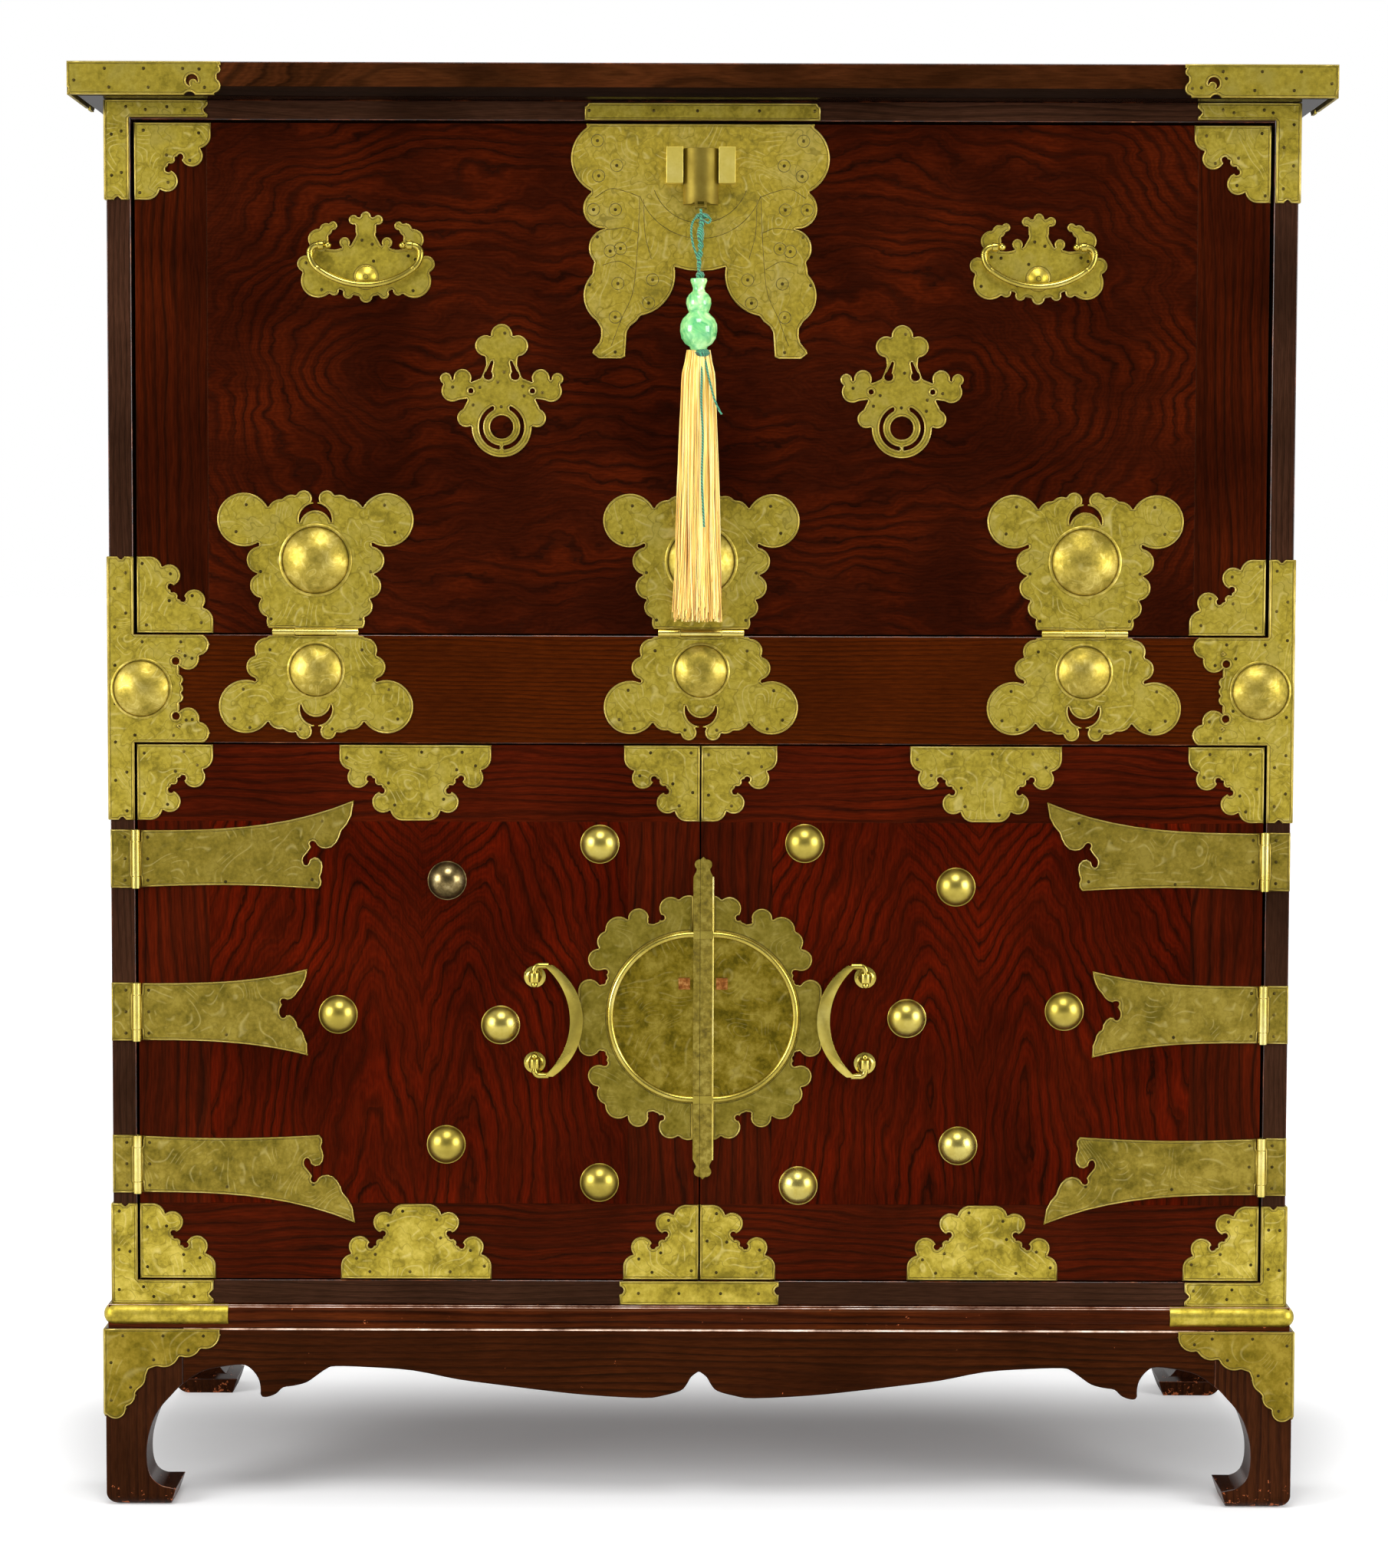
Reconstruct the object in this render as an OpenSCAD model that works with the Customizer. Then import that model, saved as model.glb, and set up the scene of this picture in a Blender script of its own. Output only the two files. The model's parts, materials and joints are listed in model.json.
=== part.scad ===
// Brass-mounted chest on a stand: a drop-front flap above, a pair of doors below.
// Millimetres. The front faces -Y, the floor is z = 0, the origin is under the middle of the top board.

/* [Case] */
// Width of the case over its corner posts
case_w = 926.5; // [900:0.5:980]
// Depth of the case
case_d = 430; // [405:1:480]
// Width of a corner post, as seen from the front
post_w = 19; // [18:0.5:24]
// Depth of a corner post
post_d = 34; // [33:1:44]
// Thickness of the side panels
side_t = 10; // [8:1:14]
// How far a side panel lies behind its posts
side_inset = 4; // [2:0.5:6]
// Height of the upper and lower side rails
side_rail_h = 44; // [36:1:60]
// Thickness of the back panel
back_t = 10; // [8:1:14]
// Thickness of the boards inside the case
board_t = 16; // [12:1:20]

/* [Heights, from the floor up] */
// Height of the legs with their aprons
leg_h = 142.5; // [136:0.5:152]
// Height of the moulding on top of the legs
moulding_h = 18.5; // [17:0.5:22]
// Height of the rail under the doors
low_rail_h = 19.5; // [18:0.5:24]
// Height of the opening for the doors
door_open_h = 425; // [405:1:460]
// Height of the rail between the doors and the flap
mid_rail_h = 85; // [84:1:96]
// Height of the opening for the flap
flap_open_h = 399; // [390:1:440]
// Height of the rail over the flap
top_rail_h = 15.5; // [15:0.5:22]
// Thickness of the top board
top_t = 25.5; // [22:0.5:32]

/* [Top board] */
// Overhang of the top board at each side
top_over_side = 24; // [21:0.5:30]
// Overhang of the top board at the front
top_over_front = 28; // [26:0.5:34]
// Overhang of the top board at the back
top_over_back = 10; // [9:0.5:14]
// Chamfer under the edge of the top board
top_chamfer = 6; // [3:0.5:7]

/* [Stand] */
// How far the stand stands out from the case
stand_out = 6; // [5:0.5:8]
// Width of the block that a leg is cut from
leg_w = 61; // [58:1:66]
// Thickness of the aprons
apron_t = 20; // [16:1:24]
// Width of the moulding frame
moulding_w = 60; // [50:1:70]
// Radius of the moulding's round nose
nose_r = 8; // [6.5:0.25:8.25]

/* [Flap and doors] */
// Thickness of the flap
flap_t = 20; // [18:0.5:24]
// Thickness of the doors
door_t = 20; // [18:0.5:24]
// Width of the flap's end battens and of the door stiles
stile_w = 56; // [50:1:64]
// Height of a door's top and bottom bands
band_h = 60; // [54:1:66]
// Gap under the flap and around the doors
hinge_gap = 1.2; // [1:0.1:1.8]
// Gap over the flap
flap_top_gap = 2.4; // [2:0.1:3]
// Gap at the sides of the flap
flap_side_gap = 3; // [2:0.1:3.5]
// Gap at the hinged edges of the doors
side_gap = 2.3; // [2:0.1:3]
// Thickness of the stops behind the flap and the doors
stop_t = 12; // [10:0.5:16]
// Height of those stops
stop_h = 9; // [7:0.5:12]
// Clearance between a closed flap or door and its stop
stop_gap = 0.6; // [0.4:0.1:1]

/* [Shelf] */
// Height of the shelf over the floor of the lower compartment
shelf_up = 200; // [120:1:300]
// How far the shelf's front edge lies behind the doors
shelf_back = 60; // [30:1:120]
// Thickness of the shelf
shelf_t = 14; // [10:0.5:18]
// Width and height of the strips under the shelf
batten_s = 16; // [12:1:20]

/* [Brass plates] */
// Thickness of the plates
plate_t = 1.2; // [1:0.1:1.6]
// Size of the square cloud plates at the corners
cloud_s = 59.5; // [54:0.5:64]
// Gap between a plate and the edge that it follows
plate_gap = 0.3; // [0.2:0.1:0.6]
// Width of the lock plate of the flap
lock_plate_w = 201; // [180:1:220]
// Distance of that plate from the middle
lock_plate_dx = -1.6; // [-3:0.1:3]
// Width of the plates under the bail handles
bail_plate_w = 107; // [96:1:114]
// Width of the flap's ornaments
ornament_w = 94; // [80:1:100]
// Distance of the ornaments from the middle
ornament_x = 156; // [145:1:170]
// Height of the ornaments over the flap's lower edge
ornament_up = 189; // [180:1:200]
// Length of the top board's corner caps
top_cap_l = 117; // [100:1:130]
// Length of the moulding's corner caps
stand_cap_l = 97; // [90:1:110]
// Width of the plates on the legs
leg_plate_w = 91; // [84:1:98]
// Length of the plate on the upper rail
head_strip_l = 183; // [160:1:210]
// Length of the plate on the lower rail
sill_plate_l = 126; // [110:1:150]

/* [Flap hinges] */
// Distance of the outer hinges from the posts
flap_hinge_in = 144.25; // [125:0.25:165]
// Length of a hinge barrel
flap_barrel_l = 67; // [60:1:70]
// Height of the hinge axis over the middle rail
flap_axis_up = 2.2; // [1.5:0.1:3]
// Radius of a hinge barrel
flap_barrel_r = 2.65; // [2.5:0.05:3]
// Length of the middle knuckle
flap_knuckle_l = 32; // [26:1:38]
// Radius of the hinge pins
flap_pin_r = 1.3; // [1.1:0.05:1.5]
// Radius of a boss on the flap
flap_boss_r = 28.5; // [26:0.5:30]
// Height of a boss on the flap
flap_boss_h = 11.5; // [9:0.5:12]
// Height of a boss on the flap over the hinge axis
flap_boss_up = 56; // [54:1:60]
// Radius of a boss on the middle rail
rail_boss_r = 22.5; // [20:0.5:23]
// Height of a boss on the middle rail
rail_boss_h = 8.5; // [6:0.5:9]
// Distance of a boss on the middle rail under the hinge axis
rail_boss_down = 30; // [28:1:32]
// Radius of the bosses on the post plates
side_boss_r = 24; // [21:0.5:25]
// Height of the bosses on the post plates
side_boss_h = 9; // [6:0.5:10]
// Opening angle of the flap, shown by the hinges
flap_swing = 158; // [120:1:158]

/* [Door hinges] */
// Length of a door hinge
door_barrel_l = 46; // [40:1:50]
// Radius of a door hinge barrel
door_barrel_r = 3.5; // [3:0.1:4]
// Length of the middle knuckle of a door hinge
door_knuckle_l = 27; // [20:1:30]
// Radius of a door hinge pin
door_pin_r = 1.9; // [1.6:0.05:2.1]
// Thickness of a door hinge
strap_t = 1.4; // [1.2:0.1:1.8]
// Length of the upper and lower straps
strap_l = 171; // [150:1:180]
// Length of the middle straps
mid_strap_l = 134; // [120:1:145]
// Distance of the upper hinge below the top of the door
hinge_down = 90; // [84:1:100]
// Distance of the lower hinge above the foot of the door
hinge_up = 91; // [84:1:100]

/* [Door lock and studs] */
// Distance of the lock to the right of the seam
lock_dx = 2.4; // [0:0.1:3]
// Height of the lock over the foot of the door
lock_up = 208; // [195:0.5:225]
// Half the width of the scalloped lock plate
lock_r = 96; // [90:1:99]
// Radius of the round raised plates
ring_r = 66.5; // [62:0.5:68]
// Radius of the bead around them
bead_r = 2.6; // [2:0.1:3]
// Width of the bar over the seam
bar_w = 15.6; // [13:0.1:18]
// Length of the bar over the seam
bar_l = 255; // [235:1:275]
// Gap between the two halves of the bar
bar_gap = 0.3; // [0.2:0.1:0.6]
// Radius of the studs
stud_r = 15.3; // [13:0.1:16]
// Height of the studs
stud_h = 10; // [8:0.5:12]

/* [Handles] */
// Distance of the bail handles from the posts
bail_in = 182.75; // [170:0.25:195]
// Distance of the bail pivots under the top of the flap
bail_down = 94.5; // [88:0.5:105]
// Distance between the eyes of a bail handle
bail_eye_w = 69; // [64:1:72]
// Width of a bail over its bow
bail_w = 91; // [87:1:96]
// Drop of a bail under its pivots
bail_drop = 33; // [30:0.5:36]
// Radius of a bail's wire
bail_r = 2.5; // [2:0.1:2.8]
// Distance of a bail's pivots from the face
bail_out = 8; // [7.5:0.5:11]
// Distance of the pull handles from the middle
pull_x = 130; // [126:1:136]
// Distance between the eyes of a pull handle
pull_eye_h = 68; // [64:1:72]
// Reach of a pull handle from its pivots
pull_reach = 38; // [35:1:42]
// Distance of a pull's pivots from the face
pull_out = 8; // [7.5:0.5:11]
// Radius of a handle's pivots
pivot_r = 1.7; // [1.4:0.05:2]
// Clearance between a pivot or pin and its bore
run_gap = 0.05; // [0.03:0.01:0.08]

/* [Flap lock] */
// Distance of the slide from the middle
slide_dx = -1.2; // [-2:0.1:2]
// Width of the slide
slide_w = 27; // [24:0.5:29]
// Height of the slide
slide_h = 43; // [38:0.5:48]
// Distance of the slide's foot under the top of the flap
slide_down = 62.5; // [60:0.5:68]
// How far the slide stands out
slide_out = 15; // [14:0.5:17]
// Travel of the slide
slide_travel = 14; // [10:0.5:14]
// Width of the two keepers beside the slide
keeper_w = 13; // [11:0.5:15]
// Height of the keepers
keeper_h = 28; // [24:0.5:32]
// Width of the bolt behind the slide
bolt_w = 16; // [12:0.5:20]
// Thickness of that bolt
bolt_t = 5; // [4:0.5:6]
// Clearance around the slide and the bolt
slide_gap = 0.3; // [0.2:0.05:0.5]

/* [Tassel] */
// Radius of the cord
cord_r = 1.1; // [0.9:0.1:1.4]
// Radius of the large ball of the gourd bead
gourd_r = 14.5; // [13:0.1:15]
// Radius of the small ball of the gourd bead
gourd_top_r = 9.8; // [8:0.1:11]
// Length of the tassel
tassel_l = 211; // [190:1:214]
// Width of the tassel at the top
tassel_w_top = 28; // [22:1:30]
// Width of the tassel at the tip
tassel_w_tip = 42; // [34:1:46]
// Thickness of the tassel
tassel_t = 13; // [11:0.5:14]

/* [Hidden] */
$fn = 48;
eps = 0.01;
z_case = leg_h + moulding_h;
z_door = z_case + low_rail_h;
z_mid = z_door + door_open_h;
z_flap = z_mid + mid_rail_h;
z_head = z_flap + flap_open_h;
z_top = z_head + top_rail_h;
top_w = case_w + 2 * top_over_side;
top_d = case_d + top_over_front + top_over_back;
y_front = top_over_front - top_d / 2;
y_back = y_front + case_d;
half_w = case_w / 2;
open_x = half_w - post_w;
rail_d = max(flap_t, door_t) + stop_gap + stop_t;
stand_x = half_w + stand_out;
stand_y0 = y_front - stand_out;
stand_y1 = y_back + stand_out;
back_inset = 2;
y_panel = y_back - back_inset - back_t;

door_w = open_x - side_gap - hinge_gap / 2;
door_h = door_open_h - 2 * hinge_gap;
z_door_foot = z_door + hinge_gap;
z_door_head = z_door_foot + door_h;
flap_w = 2 * (open_x - flap_side_gap);
z_flap_foot = z_flap + hinge_gap;
z_flap_head = z_head - flap_top_gap;

axis_gap = 0.15;
knuckle_gap = 0.3;
flap_axis_y = y_front - flap_barrel_r - axis_gap;
flap_axis_z = z_flap + flap_axis_up;
door_axis_x = open_x - side_gap / 2;
door_axis_y = y_front - door_barrel_r - axis_gap;
door_hinge_z = [z_door_head - hinge_down, (z_door_head - hinge_down + z_door_foot + hinge_up) / 2,
                z_door_foot + hinge_up];
flap_hinges = [flap_hinge_in - open_x - 1.5, 0, open_x - flap_hinge_in];
bail_x = open_x - bail_in;
z_bail = z_flap_head - bail_down;
z_lock = z_door_foot + lock_up;
z_ornament = z_flap_foot + ornament_up;

// Places of the studs on each door: across from the seam or the post, up from the foot, head or lock
left_studs = [[-79, z_door_head - 77.6], [245.25 - open_x, z_door_head - 106.6],
              [159.25 - open_x, z_lock + 2], [-157, z_lock - 6],
              [244.25 - open_x, z_door_foot + 107], [-79, z_door_foot + 77]];
right_studs = [[82, z_door_head - 76.6], [open_x - 243.25, z_door_head - 110.6],
               [open_x - 157.25, z_lock + 6], [163, z_lock],
               [open_x - 240.25, z_door_foot + 107], [78, z_door_foot + 75]];

// The cord leaves the eye under the slide; its route is measured from that eye, forward being -Y
eye_x = 3.6;
eye_r = 0.8;
eye_z = z_flap_head - slide_down - 2.6;
eye_y = y_front - slide_out;
cord_l = 55;
cord_route = [[0, 0, -1.5], [0.2, -0.3, -6], [0.5, -0.7, -12], [0.6, -1, -18], [0.4, -1.3, -24],
              [-0.1, -1.5, -30], [-0.7, -1.7, -36], [-1.2, -1.8, -42], [-1.4, -1.9, -48],
              [-1.4, -2, -cord_l]];
bead_dx = slide_dx - 1.4;
gourd_y = eye_y - 2;
gourd_top_z = eye_z - cord_l;
flare_h = 10.2;
gourd_z1 = gourd_top_z - flare_h - gourd_top_r + 2.5;
gourd_z2 = gourd_z1 - gourd_top_r - gourd_r + 3.8;
knot_h = 5;
tassel_z = gourd_z2 - gourd_r - knot_h + 1.4;

brass = "#A9942F";
old_brass = "#8E7B28";
lacquer = "#4A1408";
dark_lacquer = "#2B1A14";

// Draws a flat outline, in x and z, on the front face and gives it a thickness forward
module on_front(t, out = 0)
  translate([0, y_front - out, 0]) rotate([90, 0, 0]) linear_extrude(t) children();

// Draws a flat outline, in y and z, on the right-hand side of the case
module on_right(x, t) translate([x, 0, 0]) rotate([90, 0, 90]) linear_extrude(t) children();

// Extrudes an outline in y and z along x, centred
module along_x(l) translate([-l / 2, 0, 0]) rotate([90, 0, 90]) linear_extrude(l) children();

module both_sides() {
  children();
  mirror([1, 0, 0]) children();
}

module box(x0, x1, y0, y1, z0, z1) translate([x0, y0, z0]) cube([x1 - x0, y1 - y0, z1 - z0]);

// A spherical cap on the front face
module dome(x, z, r, h, out) {
  cap_r = (r * r + h * h) / (2 * h);
  translate([x, y_front - out, z]) rotate([90, 0, 0]) rotate_extrude()
    intersection() {
      translate([0, h - cap_r]) circle(cap_r, $fn = 96);
      square([r, h]);
    }
}

// Cloud outline of a square plate with its corner at the origin
module cloud() {
  s = cloud_s / 60;
  scale([s, s]) difference() {
    union() {
      difference() {
        polygon([[0, 0], [60, 0], [60, 10], [47, 26], [26, 47], [10, 60], [0, 60]]);
        translate([34.5, 34.5]) circle(8.2);
      }
      for (side = [0, 1]) mirror([side, -side]) {
        translate([45.2, 25.6]) circle(8.6);
        translate([50, 10]) circle(10);
        translate([50, 4]) circle(10);
      }
      translate([28.6, 28.6]) circle(3.4);
    }
    for (side = [0, 1]) mirror([side, -side]) translate([36.2, 26.6]) circle(2.3);
    translate([-20, -20]) square([100, 20]);
    translate([-20, -20]) square([20, 100]);
  }
}

// One cloud plate of a door or flap; sx and sz point from its corner into the panel
module cloud_at(x, z, sx, sz) translate([x, z])
  mirror([sx < 0 ? 1 : 0, 0]) mirror([0, sz < 0 ? 1 : 0]) cloud();

// Wood of the case

module top_board() color(lacquer) intersection() {
  y0 = y_front - top_over_front;
  y1 = y_back + top_over_back;
  along_x(top_w) polygon([[y0, z_top + top_chamfer], [y0 + top_chamfer, z_top],
    [y1 - top_chamfer, z_top], [y1, z_top + top_chamfer], [y1, z_top + top_t], [y0, z_top + top_t]]);
  translate([0, y1 + 1, 0]) rotate([90, 0, 0]) linear_extrude(top_d + 2)
    polygon([[-top_w / 2, z_top + top_chamfer], [-top_w / 2 + top_chamfer, z_top],
      [top_w / 2 - top_chamfer, z_top], [top_w / 2, z_top + top_chamfer],
      [top_w / 2, z_top + top_t], [-top_w / 2, z_top + top_t]]);
}

module front_posts() color(dark_lacquer) both_sides()
  box(open_x, half_w, y_front, y_front + post_d, z_case, z_top);

module rear_posts() color(dark_lacquer) both_sides()
  box(open_x, half_w, y_back - post_d, y_back, z_case, z_top);

// The bolt of the flap lock enters a mortise in this rail
module upper_rail() color(dark_lacquer) difference() {
  along_x(2 * open_x) polygon([[y_front, z_head], [y_front + flap_t + stop_gap, z_head],
    [y_front + flap_t + stop_gap, z_head - stop_h], [y_front + rail_d, z_head - stop_h],
    [y_front + rail_d, z_top], [y_front, z_top]]);
  bolt_slot(z_head - eps, bolt_top_z() + slide_travel + 1);
}

module mid_rail() color(lacquer) along_x(2 * open_x)
  polygon([[y_front, z_mid], [y_front + door_t + stop_gap, z_mid],
    [y_front + door_t + stop_gap, z_mid - stop_h], [y_front + rail_d, z_mid - stop_h],
    [y_front + rail_d, z_flap], [y_front, z_flap]]);

module lower_rail() color(dark_lacquer) along_x(2 * open_x)
  polygon([[y_front, z_case], [y_front + rail_d, z_case], [y_front + rail_d, z_door + stop_h],
    [y_front + door_t + stop_gap, z_door + stop_h], [y_front + door_t + stop_gap, z_door],
    [y_front, z_door]]);

// Upper, middle and lower rail of each side
side_rail_z = [[z_case, z_case + side_rail_h], [z_flap - board_t - side_rail_h / 2, z_flap + side_rail_h / 2],
               [z_top - side_rail_h, z_top]];
module side_rails() color(dark_lacquer) both_sides() for (z = side_rail_z)
  box(open_x, half_w, y_front + post_d, y_back - post_d, z[0], z[1]);

module side_panels() color(lacquer) both_sides() for (i = [0, 1])
  box(half_w - side_inset - side_t, half_w - side_inset, y_front + post_d, y_back - post_d,
      side_rail_z[i][1], side_rail_z[i + 1][0]);

module back_panel() color(dark_lacquer) box(-open_x, open_x, y_panel, y_panel + back_t, z_case, z_top);

module divider_board() color(lacquer)
  box(-open_x, open_x, y_front + rail_d, y_panel, z_flap - board_t, z_flap);

module case_floor() color(lacquer)
  box(-open_x, open_x, y_front + rail_d, y_panel, z_door - board_t, z_door);

z_shelf = z_door + shelf_up;
module shelf() color(lacquer)
  box(-open_x + plate_gap, open_x - plate_gap, y_front + rail_d + shelf_back, y_panel,
      z_shelf, z_shelf + shelf_t);

module shelf_battens() color(dark_lacquer) both_sides()
  box(open_x - batten_s, open_x, y_front + rail_d, y_panel, z_shelf - batten_s, z_shelf);

// Stand

// Round nose on a recessed frame; the corners are rounded by spheres
nose_in = nose_r - 1;
nose_z = z_case - nose_r;
module nose_path(r) {
  x = stand_x - nose_in;
  for (y = [stand_y0 + nose_in, stand_y1 - nose_in])
    translate([-x, y, nose_z]) rotate([0, 90, 0]) cylinder(r = r, h = 2 * x);
  both_sides() {
    translate([x, stand_y0 + nose_in, nose_z]) rotate([-90, 0, 0])
      cylinder(r = r, h = stand_y1 - stand_y0 - 2 * nose_in);
    for (y = [stand_y0 + nose_in, stand_y1 - nose_in]) translate([x, y, nose_z]) sphere(r);
  }
}

module stand_moulding() color(dark_lacquer) {
  step = 2;
  difference() {
    union() {
      box(-stand_x + step, stand_x - step, stand_y0 + step, stand_y1 - step, leg_h, z_case);
      nose_path(nose_r);
    }
    box(-stand_x + moulding_w, stand_x - moulding_w, stand_y0 + moulding_w, stand_y1 - moulding_w,
        leg_h - 1, z_case + 1);
  }
}

// Inner outline of a leg, from the floor up: toe, ankle and knee, as distances from the outer corner
foot_round = 11;
knee = [[50, -1], [52.5, 6], [55, 13.6], [50, 14.8], [43.5, 16.4], [37.8, 20.5], [34.2, 26.5], [32.4, 35],
        [32.2, 46], [33.6, 56], [36.8, 67], [40.6, 75], [45.6, 82], [52, 89], [58, 95.4], [67, 102.5],
        [79.6, 109]];

// Two more points between each pair, on a curve through all of them
function between(a, b, c, d, t) =
  b + 0.5 * t * (c - a + t * (2 * a - 5 * b + 4 * c - d + t * (3 * (b - c) + d - a)));
function curved(p) = concat([for (i = [0 : len(p) - 2]) for (t = [0, 0.34, 0.67])
  between(p[max(i - 1, 0)], p[i], p[i + 1], p[min(i + 2, len(p) - 1)], t)], [p[len(p) - 1]]);

module leg_outline(w) intersection() {
  square([w, leg_h]);
  union() {
    translate([foot_round, foot_round]) circle(foot_round);
    polygon(concat([[0, leg_h], [0, foot_round], [foot_round, foot_round], [foot_round, -1]],
      [knee[0], knee[1], knee[2]], curved([for (i = [2 : len(knee) - 1]) knee[i]]), [[79.6, leg_h]]));
  }
}

// Underside of the apron: places from the middle of a stand of this half width, heights under the leg top
drawn_half = 469.25;
spur = [[-389.6, -33.5], [-376.5, -30.8], [-362, -29.3], [-355, -32], [-349, -39.5], [-347, -47],
        [-346.6, -54], [-341.7, -55], [-334.6, -52.4], [-329, -47.4], [-320.4, -46], [-310.4, -43.2],
        [-302, -37.4], [-294.7, -32.4], [-287.6, -30.3]];
arch = [[67, -40], [73, -36.4]];
wave = [[-261, -31], [-226, -33.6], [-191, -40.5], [-157, -45], [-122, -49.3], [-88, -52.8], [-44, -55.1],
        [-28.6, -53.2], [-14.7, -49.3], [-9.6, -44.1], [-6, -38], [0, -33.5]];

module front_apron() color(dark_lacquer) translate([0, stand_y0 + apron_t, 0]) rotate([90, 0, 0])
  linear_extrude(apron_t) apron_full();

module apron_full() {
  start = between(knee[13], knee[14], knee[15], knee[16], 0.3);
  left = concat([[-stand_x + leg_w, 0], [-stand_x + leg_w, start[1] - leg_h]],
    curved(concat([for (p = arch) [p[0] - stand_x, p[1]]],
                  [for (p = spur) [p[0] + drawn_half - stand_x, p[1]]], wave)));
  right = [for (i = [len(left) - 2 : -1 : 0]) [-left[i][0], left[i][1]]];
  translate([0, leg_h]) polygon(concat(left, right));
}

// The side aprons repeat the arch and the spur, with a level middle
module side_outline() {
  mid = (stand_y0 + stand_y1) / 2;
  half = (stand_y1 - stand_y0) / 2;
  start = between(knee[13], knee[14], knee[15], knee[16], 0.3);
  left = concat([[-half + leg_w, 0], [-half + leg_w, start[1] - leg_h]],
    curved(concat([for (p = arch) [p[0] - half, p[1]]], [for (p = spur) [p[0] + drawn_half - half, p[1]]])));
  right = [for (i = [len(left) - 1 : -1 : 0]) [-left[i][0], left[i][1]]];
  translate([mid, leg_h]) polygon(concat(left, right));
}

module side_aprons() color(dark_lacquer) both_sides() on_right(stand_x - apron_t, apron_t) side_outline();

module rear_apron() color(dark_lacquer)
  box(-stand_x + leg_w, stand_x - leg_w, stand_y1 - apron_t, stand_y1, leg_h - 34, leg_h);

// A leg is its outline seen from the front, cut by the same outline seen from the side
module leg_block() intersection() {
  translate([0, leg_w, 0]) rotate([90, 0, 0]) linear_extrude(leg_w) leg_outline(leg_w);
  rotate([90, 0, 90]) linear_extrude(leg_w) leg_outline(leg_w);
}

module legs() color(dark_lacquer) both_sides() translate([-stand_x, 0, 0]) {
  translate([0, stand_y0, 0]) leg_block();
  translate([0, stand_y1, 0]) mirror([0, 1, 0]) leg_block();
}

// Brass of the case

// Cap on a front corner of the top board, with a pierced hook near its end
module cap_outline() difference() {
  union() {
    square([top_cap_l - 5, top_t]);
    translate([top_cap_l - 5.5, 7]) circle(5.5);
    translate([top_cap_l - 3.5, top_t - 6]) circle(3.5);
    translate([top_cap_l - 8, 6]) square([5, top_t - 8]);
    translate([top_cap_l - 5, top_t - 3]) square([5, 3]);
  }
  difference() {
    translate([top_cap_l - 22, 11]) circle(4.6);
    translate([top_cap_l - 21, 9]) circle(3.2);
  }
  translate([top_cap_l - 24, -2.5]) circle(5);
}

module top_caps() color(brass) both_sides() {
  x0 = -top_w / 2;
  y0 = y_front - top_over_front;
  difference() {
    union() {
      translate([x0, y0 + plate_t, z_top]) rotate([90, 0, 0]) linear_extrude(2 * plate_t) cap_outline();
      translate([x0 - plate_t, y0, z_top]) rotate([90, 0, 90]) linear_extrude(2 * plate_t) cap_outline();
      translate([x0 - plate_t, y0 - plate_t, z_top + top_chamfer])
        cube([2 * plate_t, 2 * plate_t, top_t - top_chamfer]);
    }
    top_board();
  }
}

// L-shaped plates on the corners of the front frame, folded round the side of the post
fold = 58;

module frame_plate_top() {
  z1 = z_top - plate_gap;
  z0 = z_flap_head - cloud_s;
  x1 = open_x - cloud_s;
  strip = open_x + 1.3;
  difference() {
    union() {
      translate([strip, z0]) square([half_w + plate_t - strip, z1 - z0]);
      translate([x1, z_head + 1.8]) square([half_w + plate_t - x1, z1 - z_head - 1.8]);
    }
    translate([x1, (z1 + z_head) / 2]) circle(3, $fn = 4);
    translate([(strip + half_w) / 2, z0]) circle(3, $fn = 4);
  }
}

module frame_plate_mid() {
  z_up = z_flap_foot + cloud_s;
  z_low = z_door_head - cloud_s;
  z_rail = (z_mid + z_flap) / 2;
  difference() {
    union() {
      translate([open_x + plate_gap, z_low]) square([post_w + plate_t - plate_gap, z_up - z_low]);
      translate([open_x - 35, z_mid + plate_gap])
        square([half_w - open_x + 35 + plate_t, mid_rail_h - 2 * plate_gap]);
      for (s = [-1, 1]) translate([open_x, z_rail + s * mid_rail_h / 2]) mirror([0, s > 0 ? 1 : 0]) {
        translate([-50, plate_gap]) square([40, 12]);
        translate([-50.5, 8]) circle(8.5);
        translate([-42.5, 19]) circle(8.8);
      }
      for (s = [-1, 0, 1]) translate([open_x - 34.5, z_rail + s * 7]) circle(4.2);
    }
    for (s = [-1, 1]) translate([open_x - 33, z_rail + s * 21.5]) circle(2.9);
    for (z = [z_up, z_low]) translate([(open_x + half_w) / 2, z]) circle(3, $fn = 4);
    translate([open_x - 70, z_flap - plate_gap]) square([70, 20]);
    translate([open_x - 70, z_mid + plate_gap - 20]) square([70, 20]);
  }
}

module frame_plate_low() {
  z1 = z_door_foot + cloud_s;
  x1 = open_x - cloud_s;
  difference() {
    union() {
      translate([open_x + plate_gap, z_case + plate_gap])
        square([post_w + plate_t - plate_gap, z1 - z_case - plate_gap]);
      translate([x1, z_case + plate_gap]) square([half_w + plate_t - x1, low_rail_h - 2 * plate_gap]);
    }
    translate([x1, z_case + low_rail_h * 0.4]) circle(3.4, $fn = 4);
    translate([(open_x + half_w) / 2, z1]) circle(3, $fn = 4);
  }
}

// The fold of a frame plate on the side of the case, from z0 to z1
module side_fold(z0, z1) on_right(half_w, plate_t) difference() {
  union() {
    translate([y_front - plate_t, z0]) square([fold - 12, z1 - z0]);
    for (i = [0 : 3]) translate([y_front + fold - 16, z0 + (z1 - z0) * (i + 0.5) / 4]) circle((z1 - z0) / 8);
  }
  translate([y_front + fold - 8, (z0 + z1) / 2]) circle(3);
}

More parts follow.
